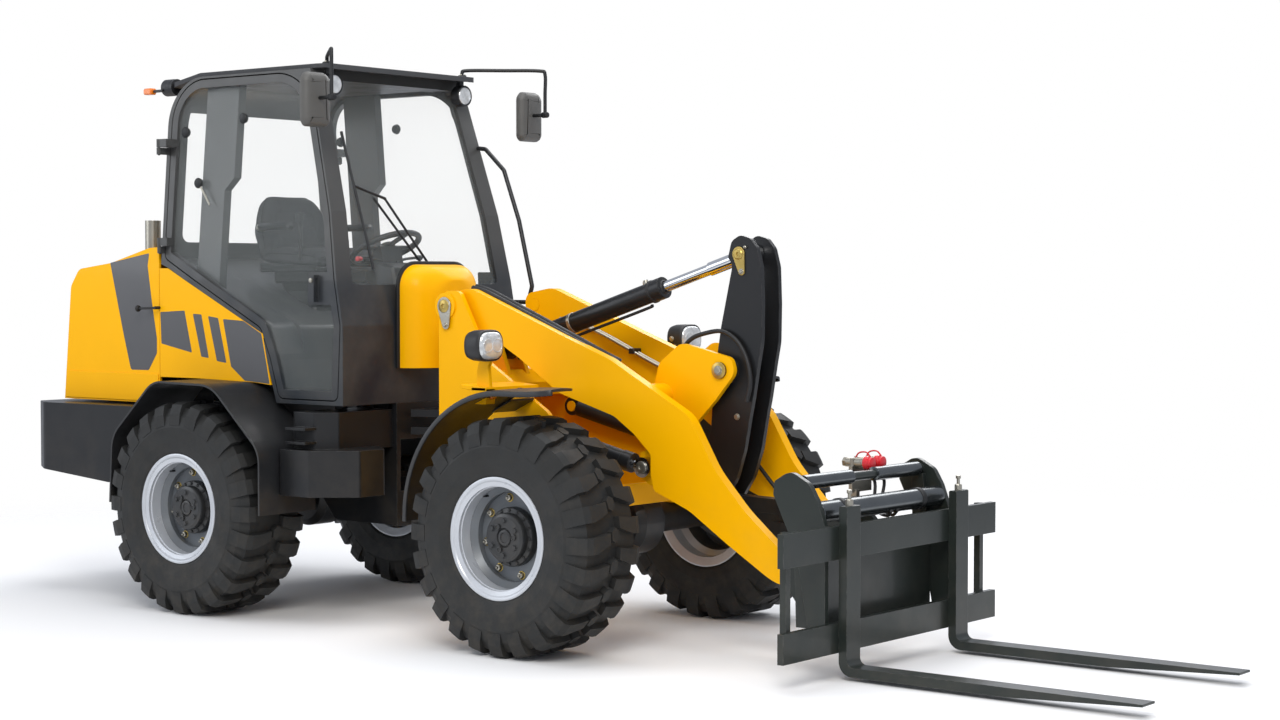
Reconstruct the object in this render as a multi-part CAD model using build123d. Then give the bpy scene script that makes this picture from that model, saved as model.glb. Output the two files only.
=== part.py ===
from build123d import *
from math import atan2, cos, degrees, hypot, pi, radians, sin
import os

# Wheel loader with an articulated frame, a single box of lift arms and a pallet fork.
# X points forward, Y to the left and Z up. X is worked out from the articulation pin,
# and the finished pieces are moved so that X = 0 is the middle of the machine's length.

# Running gear
AXLE_X = 1019.0
TRACK = 1464.0
TYRE_RADIUS = 510.0
TYRE_WIDTH = 390.0
TREAD_ROOT = TYRE_RADIUS - 28.0
LUG_COUNT = 24
LUG_FOOT = 400.0
CARCASS_DEPTH = 32.0
BEAD_RADIUS = 229.0
FLANGE_RADIUS = 263.0
FLANGE_REACH = 178.0
RIM_WALL = 10.0
DISC_REACH = 48.0
DISC_THICK = 16.0
HUB_RADIUS = 106.0
HUB_REACH = 128.0
DRUM_RADIUS = 140.0
DRUM_DEPTH = 70.0
BEAM_RADIUS = 68.0
SPINDLE_RADIUS = 40.0
SPINDLE_REACH = 50.0
DIFF_RADIUS = 150.0
WHEEL_GAP = 3.0

# Clearances
MOVING_GAP = 6.0
PIN_GAP = 0.5
SIDE_GAP = 3.0
SEAT = 0.3

# Steel plate
PLATE = 25.0
ARM_PLATE = 50.0

# Linkage pivots as X and Z
BOOM_PIVOT = (220.0, 1482.0)
FORK_PIVOT = (2170.0, 390.0)
CRANK_PIVOT = (1620.0, 1213.0)
CRANK_TOP = (1680.0, 1715.0)
CRANK_FOOT = (1500.0, 640.0)
LINK_HEAD = (2150.0, 620.0)
TILT_BASE = (260.0, 1270.0)
LIFT_BASE = (450.0, 1000.0)
LIFT_HEAD = (1330.0, 790.0)
PIN_RADIUS = 25.0

# Widths of the front structure, each from the middle of the machine
TOWER_OUTER = 360.0
ARM_OUTER = 315.0
CRANK_OUTER = 75.0
CRANK_PLATE = 22.0
LIFT_Y = 289.0

# Cylinders
TILT_BARREL_RADIUS = 46.0
TILT_ROD_SHOWS = 488.0
TILT_ROD_RADIUS = 25.0
LIFT_BARREL_RADIUS = 40.0
LIFT_ROD_SHOWS = 63.0
LIFT_ROD_RADIUS = 22.0
BARREL_WALL = 8.0
GLAND_LENGTH = 55.0
GLAND_RISE = 4.0
NECK_RISE = 6.0
TILT_NECK = 215.0
LIFT_NECK = 0.0
TILT_PISTON = 560.0
LIFT_PISTON = 52.0
EYE_RADIUS = 44.0
EYE_WIDTH = 40.0
TILT_EYE_WIDTH = 98.0
STEER_BASE = (-520.0, 100.0)
STEER_HEAD = (60.0, 180.0)
STEER_Z = 700.0
STEER_BARREL_RADIUS = 33.0
STEER_BARREL_LENGTH = 385.0
STEER_ROD_RADIUS = 16.0

# Fork carriage
CARRIAGE_FRONT = 2435.0
CARRIAGE_BAR = 28.0
CARRIAGE_HALF = 824.0
CARRIAGE_TOP = 620.0
CARRIAGE_BOTTOM = 110.0
TOP_BAR_HEIGHT = 135.0
LOW_BAR_HEIGHT = 120.0
EAR_Y = 480.0
EAR_PLATE = 25.0
HANGER = (2262.0, 785.0)
HANGER_RADIUS = 20.0
TINE_WIDTH = 100.0
TINE_THICK = 38.0
TINE_TOP = 55.0
TINE_HEAD = 700.0
FORK_TIP = 3760.0
TINE_Y = (-385.0, 470.0)

# Cab
CAB_HALF = 610.0
CAB_ROOF_HALF = 526.0
CAB_WALL = 45.0
CAB_BELT = 1600.0
CAB_TOP = 2605.0
CAB_REAR = -1500.0
DOOR_FRAME = 38.0
DOOR_REAR = -1462.0
DOOR_TOP_GAP = 17.0
DOOR_STOP = 20.0
ROOF_SHEET = 20.0
LAMP_RADIUS = 52.0
GLASS = 6.0

# Body
FENDER_INNER = 500.0
FENDER_REAR = 412.0
FENDER_TOP = 1130.0
FENDER_BEND = 567.0
FENDER_OUTER = 850.0
RAIL_INNER = 230.0
RAIL_OUTER = 255.0
HOOD_HALF = 600.0
HOOD_WALL = 14.0
GRILLE_SLOTS = 10
GRILLE_BOTTOM = 1090.0
GRILLE_PITCH = 40.0
GRILLE_HALF = 330.0
GRILLE_DEPTH = 8.0
FENDER_WALL = 10.0
REAR_END = -2460.0
HOOD_HINGE_X0Z = (-1500.0, 0.0, 1772.0)
DOOR_HINGE_X = DOOR_REAR - 16.0
DOOR_HINGE_Y = 622.0
DOOR_HINGES = (1770.0, 2260.0)
HINGE_RADIUS = 12.0
HINGE_PIN = 6.0
HINGE_HEIGHT = 40.0
HITCH_X = -2425.0
HITCH_Z = 800.0
HITCH_RADIUS = 15.0
HITCH_HEIGHT = 60.0


def wedge(points, radius):
    # A closed outline as X and Z, standing in the XZ plane
    radii = radius if isinstance(radius, (list, tuple)) else [radius] * len(points)
    return make_face(FilletPolyline(*points, radius=list(radii), close=True))


def upright(points, y_from, y_to, radius=0.0):
    # A plate in the XZ plane between two values of Y
    low, high = min(y_from, y_to), max(y_from, y_to)
    return extrude(Plane((0, high, 0), x_dir=(1, 0, 0), z_dir=(0, -1, 0)) * wedge(points, radius), high - low)


def flat(points, z_from, z_to, radius=0.0):
    # A plate in the XY plane between two values of Z
    return extrude(Pos(0, 0, z_from) * wedge(points, radius), z_to - z_from)


def facing(points, x_from, x_to, radius=0.0):
    # A plate in the YZ plane between two values of X
    return extrude(Plane((x_from, 0, 0), x_dir=(0, 1, 0), z_dir=(1, 0, 0)) * wedge(points, radius), x_to - x_from)


def across(point, radius, y_from, y_to):
    # A round bar along Y through a point given as X and Z
    return Pos(point[0], (y_from + y_to) / 2, point[1]) * Rot(90, 0, 0) * Cylinder(radius, abs(y_to - y_from))


def rod(start, end, radius):
    # A round bar between two points
    a, b = Vector(*start), Vector(*end)
    return Plane((a + b) / 2, z_dir=b - a) * Cylinder(radius, (b - a).length)


def block(x_from, x_to, y_from, y_to, z_from, z_to):
    centre = ((x_from + x_to) / 2, (y_from + y_to) / 2, (z_from + z_to) / 2)
    return Pos(*centre) * Box(abs(x_to - x_from), abs(y_to - y_from), abs(z_to - z_from))


def bent(points, radii, thickness, y_from, y_to):
    # A sheet bent along a path given as X and Z
    path = FilletPolyline(*points, radius=list(radii))
    face = make_face(offset(path, thickness, side=Side.LEFT, closed=True))
    return extrude(Plane((0, y_to, 0), x_dir=(1, 0, 0), z_dir=(0, -1, 0)) * face, y_to - y_from)


def pair(shape):
    # The same piece on both sides of the machine
    return shape + mirror(shape, Plane.XZ)


def on_side(shape, side):
    # A piece drawn on the left, put on the left or the right
    return shape if side > 0 else mirror(shape, Plane.XZ)


def spun(points, y_middle, x, z):
    # Turned about an axle along Y: each point is a radius and a reach from the wheel's middle
    face = make_face(Polyline(*[(r, y) for r, y in points], close=True))
    ring = revolve(face, Axis.Y)
    return Pos(x, y_middle, z) * ring


# Wheels
def lug(angle, outline):
    # A block of tread that points outward from the axle
    out = radians(angle)
    foot = (LUG_FOOT * cos(out), 0, LUG_FOOT * sin(out))
    seat = Plane(origin=foot, x_dir=(-sin(out), 0, cos(out)), z_dir=(cos(out), 0, sin(out)))
    return seat * extrude(wedge(outline, 0), TYRE_RADIUS + 20 - LUG_FOOT)


def tyre_form():
    # One tyre round its own centre: a carcass, and lugs cut from a ring of tread
    half = TYRE_WIDTH / 2
    inner = FLANGE_REACH - 12.0
    wall = [
        (BEAD_RADIUS + 0.3, inner), (FLANGE_RADIUS + 0.3, inner + 5.7), (FLANGE_RADIUS + 14, FLANGE_REACH + 2),
        (320, half - 6), (390, half), (440, half - 14), (TREAD_ROOT, half - 44),
    ]
    lining = [
        (BEAD_RADIUS + 0.3, inner - 38), (310, half - 36), (370, half - 24), (430, half - 38), (TREAD_ROOT - 30, half - 60),
    ]
    crown = [
        (396, half - 4), (400, half - 1), (455, half - 6), (TYRE_RADIUS - 12, half - 22), (TYRE_RADIUS, half - 52),
    ]
    under = [(438, half - 18), (TREAD_ROOT - 4, half - 48)]
    carcass = spun(mirrored(wall) + mirrored(lining)[::-1], 0, 0, 0)
    ring = spun(mirrored(crown) + mirrored(under)[::-1], 0, 0, 0)
    near = [(-2, -32), (46, -32), (36, -110), (36, -half - 5), (-34, -half - 5), (-34, -120)]
    far = [(along, -y) for along, y in near]
    centre = [(-30, 0), (-12, 22), (24, 22), (36, 0), (18, -22), (-18, -22)]
    blocks = []
    for k in range(LUG_COUNT):
        angle = 360 / LUG_COUNT * k - 90
        blocks += [lug(angle, near), lug(angle + 180 / LUG_COUNT, far), lug(angle + 90 / LUG_COUNT, centre)]
    return carcass + (ring & (Part() + blocks))


def mirrored(points):
    # A profile of radius and reach, and then its likeness on the other side of the wheel's middle
    return points + [(radius, -reach) for radius, reach in reversed(points)]


TYRE_FORM = tyre_form()


def tyre(x, side):
    return on_side(Pos(x, TRACK / 2, TYRE_RADIUS) * TYRE_FORM, side)


def rim(x, side):
    seat = BEAD_RADIUS
    drop = BEAD_RADIUS - 26.0
    bead = FLANGE_REACH - 12.0
    disc_back = DISC_REACH - DISC_THICK
    points = [
        (0, HUB_REACH), (HUB_RADIUS - 10, HUB_REACH), (HUB_RADIUS, HUB_REACH - 10), (HUB_RADIUS, DISC_REACH),
        (drop - RIM_WALL, DISC_REACH), (drop - RIM_WALL, 74), (seat - RIM_WALL, 98), (seat - RIM_WALL, bead),
        (FLANGE_RADIUS - 6, FLANGE_REACH), (FLANGE_RADIUS, FLANGE_REACH), (FLANGE_RADIUS, bead + 6),
        (seat, bead), (seat, 94), (drop, 68), (drop, -68), (seat, -94), (seat, -bead),
        (FLANGE_RADIUS, -bead - 6), (FLANGE_RADIUS, -FLANGE_REACH), (FLANGE_RADIUS - 6, -FLANGE_REACH),
        (seat - RIM_WALL, -bead), (seat - RIM_WALL, -98), (drop - RIM_WALL, -74), (drop - RIM_WALL, disc_back),
        (DRUM_RADIUS, disc_back), (DRUM_RADIUS, disc_back - DRUM_DEPTH), (SPINDLE_RADIUS + SEAT, disc_back - DRUM_DEPTH),
        (SPINDLE_RADIUS + SEAT, disc_back - DRUM_DEPTH + SPINDLE_REACH + 5), (0, disc_back - DRUM_DEPTH + SPINDLE_REACH + 5),
    ]
    return on_side(spun(points, TRACK / 2, x, TYRE_RADIUS), side)


def axle(x):
    end = TRACK / 2 + DISC_REACH - DISC_THICK - DRUM_DEPTH - WHEEL_GAP
    beam = across((x, TYRE_RADIUS), BEAM_RADIUS, -end, end)
    casing = across((x, TYRE_RADIUS), DIFF_RADIUS, -95, 95)
    casing = chamfer(casing.edges(), 30)
    cones = Pos(x, 0, TYRE_RADIUS) * Rot(90, 0, 0) * Cone(BEAM_RADIUS, 118, 90, align=(Align.CENTER, Align.CENTER, Align.MAX))
    flange = across((x, TYRE_RADIUS), 112, end - 60, end)
    spindle = across((x, TYRE_RADIUS), SPINDLE_RADIUS, end - 10, end + SPINDLE_REACH)
    return beam + casing + pair(flange + spindle)


# Front frame
def front_frame():
    outer, inner = TOWER_OUTER, TOWER_OUTER - PLATE
    outline = [
        (176, 430), (176, 1500), (222, 1552), (303, 1552), (487, 1225), (834, 1015), (1000, 770), (1180, 700),
        (1180, 605), (1130, 605), (1100, 600), (860, 600), (700, 430),
    ]
    cheek = upright(outline, inner, outer, [0, 30, 20, 40, 60, 60, 60, 20, 0, 0, 0, 30, 0])
    frame = pair(cheek)
    frame += block(176, 176 + PLATE, -inner, inner, 430, 1060)
    frame += block(176, 700, -inner, inner, 430, 430 + PLATE)
    frame += block(1180 - PLATE, 1180, -inner, inner, 605, 700)
    bridge = upright([(205, 1060), (205, 1180), (330, 1180), (400, 1120), (400, 1060)], -inner, inner)
    frame += bridge
    lug = upright([(205, 1120), (TILT_BASE[0] - 50, TILT_BASE[1]), (TILT_BASE[0] - 35, TILT_BASE[1] + 45),
                   (TILT_BASE[0] + 35, TILT_BASE[1] + 45), (TILT_BASE[0] + 50, TILT_BASE[1]), (370, 1120)],
                  TILT_EYE_WIDTH / 2 + SIDE_GAP, TILT_EYE_WIDTH / 2 + SIDE_GAP + PLATE, 12)
    frame += pair(lug)
    frame += across(TILT_BASE, PIN_RADIUS, -TILT_EYE_WIDTH / 2 - 10, TILT_EYE_WIDTH / 2 + 10)
    boss_inner = LIFT_Y + EYE_WIDTH / 2 + SIDE_GAP
    frame += pair(across(LIFT_BASE, 32, boss_inner, inner + 1))
    frame += pair(across(LIFT_BASE, PIN_RADIUS, LIFT_Y - EYE_WIDTH / 2 - 6, inner + 5))
    frame += pair(across(BOOM_PIVOT, PIN_RADIUS + 5, ARM_OUTER - ARM_PLATE - 2, TOWER_OUTER + 8))
    frame += pair(across(BOOM_PIVOT, 62, TOWER_OUTER - 2, TOWER_OUTER + 8))
    for z in (470, 900):
        frame += flat([(30, -75), (180, -200), (180, 200), (30, 75)], z, z + 40)
        frame += Pos(0, 0, z + 20) * Cylinder(80, 40)
    for z in (470, 900):
        frame -= Pos(0, 0, z + 20) * Cylinder(PIN_RADIUS + 5 + PIN_GAP, 60)
    for z in (STEER_Z - 45, STEER_Z + 20):
        frame += flat([(28, 145), (28, 215), (180, 240), (180, 120)], z, z + 25, [30, 30, 0, 0])
    pad = block(900, 1140, 250, inner + 5, TYRE_RADIUS + BEAM_RADIUS, 640)
    frame += pair(pad)
    return frame


def front_fenders():
    left = FENDER_REAR
    path, radii = [(left, 540), (left, FENDER_TOP), (1155, FENDER_TOP), (1412, FENDER_TOP + 25)], [FENDER_BEND, 60]
    guard = bent(path, radii, FENDER_WALL, FENDER_INNER, FENDER_OUTER)
    stay = bent(path, radii, FENDER_WALL, TOWER_OUTER + SEAT, FENDER_INNER) & block(640, 760, 300, 600, 900, 1200)
    return pair(guard + stay)


def headlamps():
    lamp = fillet(block(720, 800, 628, 812, 1250, 1388).edges().filter_by(Axis.X), 28)
    lens = fillet(block(790, 832, 636, 804, 1258, 1380).edges().filter_by(Axis.X), 24)
    lens = fillet(lens.faces().sort_by(Axis.X)[-1].edges(), 16)
    post = block(722, 752, 660, 700, 1000, 1270)
    arc = (FENDER_REAR + FENDER_BEND, FENDER_TOP - FENDER_BEND)
    post -= across(arc, FENDER_BEND + FENDER_WALL + SEAT, 500, 900)
    return pair(lamp + lens + post)


# Lift arms
def boom():
    outer, inner = ARM_OUTER, ARM_OUTER - ARM_PLATE
    outline = [
        (162, 1440), (162, 1535), (330, 1565), (866, 1362), (1153, 1257), (1592, 1024), (1730, 796), (1881, 636),
        (2050, 497), (2225, 400), (2205, 315), (2035, 346), (1804, 483), (1593, 618), (1403, 692), (1384, 760),
        (1384, 850), (1290, 935), (1181, 1008), (866, 1099), (629, 1250), (478, 1333),
    ]
    radii = [40, 45, 120, 300, 200, 160, 400, 600, 300, 50, 50, 300, 500, 300, 20, 30, 30, 60, 120, 200, 300, 300]
    arm = upright(outline, inner, outer, radii)
    arm -= across(BOOM_PIVOT, PIN_RADIUS + 5 + PIN_GAP, inner - 1, outer + 1)
    arm -= across(FORK_PIVOT, PIN_RADIUS + 3 + PIN_GAP, inner - 1, outer + 1)
    gap = SIDE_GAP
    lug_inner = LIFT_Y - EYE_WIDTH / 2 - gap
    lug = upright([(1290, 745), (1290, 850), (1420, 900), (1500, 900), (1500, 700), (1340, 712)], lug_inner - 28, lug_inner)
    web = block(1405, 1480, lug_inner - 1, inner + 1, 720, 880)
    arm += lug + web
    arms = pair(arm)
    arms += rod((1310, -inner - 2, 1095), (1310, inner + 2, 1095), 55)
    ear = upright([(1250, 1100), (1287, 1237), (1408, 1328), (1490, 1312), (1678, 1268), (1700, 1204), (1593, 1080),
                   (1480, 967), (1330, 1040)], 106, 131, [10, 60, 60, 40, 40, 50, 60, 40, 20])
    ear -= across(CRANK_PIVOT, 35 + PIN_GAP, 100, 140)
    arms += pair(ear)
    return arms


def bellcrank():
    outer, inner = CRANK_OUTER, CRANK_OUTER - CRANK_PLATE
    outline = [
        (1622, 1700), (1640, 1771), (1685, 1797), (1738, 1783), (1775, 1740), (1797, 1660), (1803, 1500), (1800, 1334),
        (1780, 1230), (1757, 1096), (1740, 1018), (1711, 868), (1672, 747), (1600, 640), (1545, 582), (1450, 590),
        (1455, 690), (1504, 882), (1531, 944), (1545, 1150), (1585, 1399), (1646, 1668),
    ]
    radii = [10, 40, 40, 30, 40, 80, 150, 200, 150, 200, 100, 200, 150, 80, 50, 50, 60, 100, 100, 200, 200, 40]
    cheek = upright(outline, inner, outer, radii)
    crank = pair(cheek)
    crank += across(CRANK_PIVOT, 60, -103, 103)
    crank += across(CRANK_PIVOT, 35, -140, 140)
    return crank


def tilt_link():
    half = CRANK_OUTER - CRANK_PLATE - SIDE_GAP
    head = Vector(LINK_HEAD[0], 0, LINK_HEAD[1])
    foot = Vector(CRANK_FOOT[0], 0, CRANK_FOOT[1])
    link = across(CRANK_FOOT, 45, -half, half) + across(LINK_HEAD, 45, -half, half)
    run = (head - foot).normalized()
    rise = Vector(-run.Z, 0, run.X) * 32
    corners = [foot + rise, head + rise, head - rise, foot - rise]
    link += upright([(c.X, c.Z) for c in corners], -30, 30)
    reach = half + SIDE_GAP - SEAT
    link += across(CRANK_FOOT, PIN_RADIUS, -reach, reach)
    link += across(LINK_HEAD, PIN_RADIUS, -half - 30, half + 30)
    return link


# Cylinders
def along(base, head, distance):
    dx, dz = head[0] - base[0], head[1] - base[1]
    length = hypot(dx, dz)
    return (base[0] + dx / length * distance, base[1] + dz / length * distance)


def barrel(base, head, y, radius, rod_shows, rod_radius, eye_width):
    length = hypot(head[0] - base[0], head[1] - base[1]) - rod_shows

    def point(distance):
        x, z = along(base, head, distance)
        return (x, y, z)
    shell = rod(point(EYE_RADIUS - 6), point(length), radius)
    shell += rod(point(length - GLAND_LENGTH), point(length), radius + GLAND_RISE)
    shell -= rod(point(EYE_RADIUS + 4), point(length - 45), radius - BARREL_WALL)
    shell -= rod(point(length - 70), point(length + 10), rod_radius + 1.0)
    eye = across(base, EYE_RADIUS, y - eye_width / 2, y + eye_width / 2)
    hole = across(base, PIN_RADIUS + PIN_GAP, y - eye_width, y + eye_width)
    return shell + eye - hole


def plunger(base, head, y, radius, barrel_radius, inner_end, eye_width, neck):
    reach = hypot(head[0] - base[0], head[1] - base[1])
    def point(distance):
        x, z = along(base, head, distance)
        return (x, y, z)
    shaft = rod(point(inner_end), point(reach), radius)
    piston = rod(point(inner_end), point(inner_end + 40), barrel_radius - BARREL_WALL - 1.0)
    if neck:
        shaft += rod(point(reach - neck), point(reach - EYE_RADIUS / 2), radius + NECK_RISE)
    eye = across(head, EYE_RADIUS, y - eye_width / 2, y + eye_width / 2)
    pin_half = eye_width / 2 + SIDE_GAP - SEAT
    pin = across(head, PIN_RADIUS, y - pin_half, y + pin_half)
    return shaft + piston + eye + pin


def steer_point(distance):
    dx, dy = STEER_HEAD[0] - STEER_BASE[0], STEER_HEAD[1] - STEER_BASE[1]
    length = hypot(dx, dy)
    return (STEER_BASE[0] + dx / length * distance, STEER_BASE[1] + dy / length * distance, STEER_Z)


def steer_barrel():
    shell = rod(steer_point(20), steer_point(STEER_BARREL_LENGTH), STEER_BARREL_RADIUS)
    shell -= rod(steer_point(60), steer_point(STEER_BARREL_LENGTH - 40), STEER_BARREL_RADIUS - BARREL_WALL)
    shell -= rod(steer_point(STEER_BARREL_LENGTH - 50), steer_point(STEER_BARREL_LENGTH + 10), STEER_ROD_RADIUS + 1.0)
    eye = Pos(STEER_BASE[0], STEER_BASE[1], STEER_Z) * Cylinder(32, 34)
    hole = Pos(STEER_BASE[0], STEER_BASE[1], STEER_Z) * Cylinder(15 + PIN_GAP, 60)
    return shell + eye - hole


def steer_rod():
    reach = hypot(STEER_HEAD[0] - STEER_BASE[0], STEER_HEAD[1] - STEER_BASE[1])
    shaft = rod(steer_point(180), steer_point(reach - 20), STEER_ROD_RADIUS)
    piston = rod(steer_point(180), steer_point(210), STEER_BARREL_RADIUS - BARREL_WALL - 1.0)
    eye = Pos(STEER_HEAD[0], STEER_HEAD[1], STEER_Z) * Cylinder(30, 34)
    pin = Pos(STEER_HEAD[0], STEER_HEAD[1], STEER_Z) * Cylinder(15, 39.4)
    return shaft + piston + eye + pin


# Coupler, carriage and forks
def quick_coupler():
    lug_outer, lug_inner = 130.0, 100.0
    outline = [(2118, 335), (2118, 420), (2098, 620), (2115, 672), (2185, 672), (2290, 560), (2290, 200), (2230, 200), (2200, 330)]
    lug = upright(outline, lug_inner, lug_outer, [20, 40, 30, 20, 20, 40, 20, 20, 40])
    coupler = pair(lug)
    arm_lug = upright([(2120, 340), (2130, 420), (2200, 470), (2290, 560), (2290, 200), (2230, 200)], ARM_OUTER + SIDE_GAP + 3,
                      ARM_OUTER + 31, [20, 40, 40, 20, 20, 40])
    coupler += pair(arm_lug)
    half = EAR_Y - EAR_PLATE / 2 - SEAT
    coupler += block(2290, 2315, -half, half, 200, 560)
    coupler += across(FORK_PIVOT, PIN_RADIUS + 3, -ARM_OUTER - 25, ARM_OUTER + 25)
    hook = upright([(2250, 200), (2235, 700), (2235, HANGER[1] - HANGER_RADIUS - SEAT), (2290, HANGER[1] - HANGER_RADIUS - SEAT),
                    (2315, 560), (2315, 200)], half - 25, half)
    coupler += pair(hook)
    return coupler


def fork_carriage():
    half = CARRIAGE_HALF
    back = CARRIAGE_FRONT - CARRIAGE_BAR
    frame = block(back, CARRIAGE_FRONT, -half, half, CARRIAGE_TOP - TOP_BAR_HEIGHT, CARRIAGE_TOP)
    frame += block(back, CARRIAGE_FRONT, -half, half, CARRIAGE_BOTTOM, CARRIAGE_BOTTOM + LOW_BAR_HEIGHT)
    upright_bar = block(back - 30, back, 735, 765, CARRIAGE_BOTTOM, CARRIAGE_TOP)
    frame += pair(upright_bar)
    ear = upright([(2155, 735), (2160, 790), (2238, 836), (2330, 787), (2369, 721), (2407, 620), (2407, 112), (2340, 112),
                   (2270, 500)], EAR_Y - EAR_PLATE / 2, EAR_Y + EAR_PLATE / 2, [20, 20, 60, 60, 30, 10, 10, 10, 30])
    frame += pair(ear)
    frame += across(HANGER, HANGER_RADIUS, -EAR_Y, EAR_Y)
    return frame


def fork_tines():
    shank_back = CARRIAGE_FRONT + SEAT
    heel = shank_back + TINE_THICK
    tip = FORK_TIP
    outline = [
        (shank_back, TINE_HEAD), (heel, TINE_HEAD), (heel, TINE_TOP), (tip, TINE_TOP), (tip, TINE_TOP - 10),
        (heel + 700, TINE_TOP - TINE_THICK), (shank_back, TINE_TOP - TINE_THICK),
    ]
    radii = [8, 8, 30, 3, 3, 200, 60]
    tines = Part()
    for y in TINE_Y:
        tines += upright(outline, y - TINE_WIDTH / 2, y + TINE_WIDTH / 2, radii)
    return tines


def hydraulic_couplings():
    plate = block(2140, 2158, 88, 240, 700, 812) + block(2135, 2170, 102, 128, 672 + SEAT, 712)
    for y in (122, 206):
        plate += rod((2110, y, 826), (2180, y, 826), 20) + rod((2160, y, 826), (2215, y, 826), 25)
        plate += block(2140, 2158, y - 24, y + 24, 800, 845)
    return plate


# Rear frame
def rear_frame():
    frame = pair(upright([(-2200, 700), (-2200, 860), (-1300, 860), (-200, 860), (-200, 430), (-620, 430), (-760, 600),
                          (-1280, 600), (-1400, 640)], RAIL_INNER, RAIL_OUTER, [20, 20, 0, 0, 0, 60, 80, 80, 80]))
    wall = block(-230, -200, -RAIL_OUTER, RAIL_OUTER, 425, 1015 - SEAT)
    wall -= block(-240, -190, -RAIL_INNER, RAIL_INNER, 590, 840)
    frame += wall
    for z in (430, 515, 860, 945):
        lug = flat([(-25, -74), (-205, -160), (-205, 160), (-25, 74)], z, z + 35) + Pos(0, 0, z + 17.5) * Cylinder(78, 35)
        frame += lug
    for z in (490, 920):
        frame += Pos(0, 0, z) * Cylinder(PIN_RADIUS + 5, 130)
    frame += pair(block(-620, -560, RAIL_INNER, RAIL_OUTER, 855, 1015 - SEAT))
    frame += block(-560, -480, -RAIL_INNER, RAIL_INNER, STEER_Z - 75, STEER_Z - 45)
    frame += Pos(STEER_BASE[0], STEER_BASE[1], STEER_Z - 15) * Cylinder(15, 70)
    frame += pair(block(-1140, -900, RAIL_INNER, RAIL_OUTER, TYRE_RADIUS + BEAM_RADIUS, 605))
    frame += block(-1700, -1660, -RAIL_INNER, RAIL_INNER, 700, 740)
    frame += block(-2200, -2170, -RAIL_INNER, RAIL_INNER, 700, 860)
    return frame


def counterweight():
    side = upright([(-1580, 972), (-2400, 972), (REAR_END, 910), (REAR_END, 720), (-2390, 640), (-1743, 581), (-1580, 700)],
                   -760, 760, [20, 40, 40, 40, 40, 60, 40])
    plan = flat([(-1580, -720), (-1580, 720), (-2250, 750), (-2340, 700), (REAR_END, 600), (REAR_END, -600), (-2340, -700), (-2250, -750)],
                500, 1000, [10, 10, 60, 60, 60, 60, 60, 60])
    weight = side & plan
    weight -= block(-1500, -2210, -RAIL_OUTER - SEAT, RAIL_OUTER + SEAT, 500, 1000)
    weight -= block(REAR_END - 10, -2380, -60, 60, HITCH_Z - HITCH_HEIGHT / 2 + 15, HITCH_Z + HITCH_HEIGHT / 2 - 15)
    weight -= block(REAR_END - 10, -2380, -60, 60, HITCH_Z + HITCH_HEIGHT / 2, HITCH_Z + 400)
    weight -= block(REAR_END - 10, -2380, -60, 60, 500, HITCH_Z - HITCH_HEIGHT / 2)
    weight -= Pos(HITCH_X, 0, HITCH_Z) * Cylinder(HITCH_RADIUS, 200)
    return weight


def engine_block():
    return block(-2130, -1560, -210, 210, 742, 1480) + pair(block(-1720, -1640, 205, RAIL_INNER - SEAT, 760, 800))


def rear_fenders():
    guard = bent([(-455, 510), (-455, 811), (-787, 1109), (-1210, 1117), (-1520, 840), (-1540, 510)], [140, 200, 160, 160],
                 FENDER_WALL, 545, 900)
    return pair(guard)


def side_boxes():
    front = -455 + SEAT
    inner = RAIL_OUTER + SEAT
    tank = flat([(front, inner), (front, 790), (-240, 790), (-60, 640), (-60, 480), (-350, inner)], 600, 815,
                [10, 30, 20, 20, 20, 10])
    upper = flat([(front, inner), (front, 700), (-300, 700), (-225, 610), (-225, inner)], 805, 985, [5, 30, 20, 20, 5])
    step = flat([(-425, 690), (-425, 770), (-290, 770), (-290, 690)], 840, 852, 8)
    step += flat([(-425, 690), (-425, 770), (-290, 770), (-290, 690)], 905, 917, 8)
    return pair(tank + upper + step)


# Cab
CAB_SIDE = [
    (-200, 1015), (-200, 1388), (-300, 1925), (-497, CAB_TOP), (CAB_REAR, CAB_TOP), (-1490, 1680), (-1435, 1660),
    (-745, 1345), (-712, 1205), (-650, 1015),
]
CAB_BENDS = [0, 60, 0, 0, 235, 0, 0, 0, 0, 0]


def cab_body(inset):
    outline = wedge(CAB_SIDE, CAB_BENDS)
    side_face = offset(outline, -inset) if inset else outline
    side = extrude(Plane((0, 700, 0), x_dir=(1, 0, 0), z_dir=(0, -1, 0)) * side_face, 1400)
    low, high = CAB_HALF - inset, CAB_ROOF_HALF - inset
    front = [(-low, 900), (-low, CAB_BELT), (-high, CAB_TOP), (high, CAB_TOP), (low, CAB_BELT), (low, 900)]
    return side & facing(front, -1700, 0)


def cab_skin(near, far):
    return cab_body(near) - cab_body(far)


def side_walls(outer, inner):
    # The two leaning side walls, between two depths in from the cab's sides
    def slab(inset):
        low, high = CAB_HALF - inset, CAB_ROOF_HALF - inset
        return facing([(-low, 900), (-low, CAB_BELT), (-high, CAB_TOP), (high, CAB_TOP), (low, CAB_BELT), (low, 900)], -1700, 0)
    return slab(outer) - slab(inner)


DOOR_HEAD = CAB_TOP - DOOR_TOP_GAP
DOOR = [
    (-238, 1040), (-220, 1388), (-318, 1925), (-510, DOOR_HEAD), (DOOR_REAR - 4, DOOR_HEAD), (DOOR_REAR, 1712),
    (-757, 1375), (-690, 1230), (-630, 1040),
]
DOOR_BENDS = [30, 60, 100, 290, 215, 40, 60, 40, 40]


def door_prism(grow):
    face = wedge(DOOR, DOOR_BENDS)
    face = offset(face, grow) if grow else face
    return extrude(Plane((0, 700, 0), x_dir=(1, 0, 0), z_dir=(0, -1, 0)) * face, 300)


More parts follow.
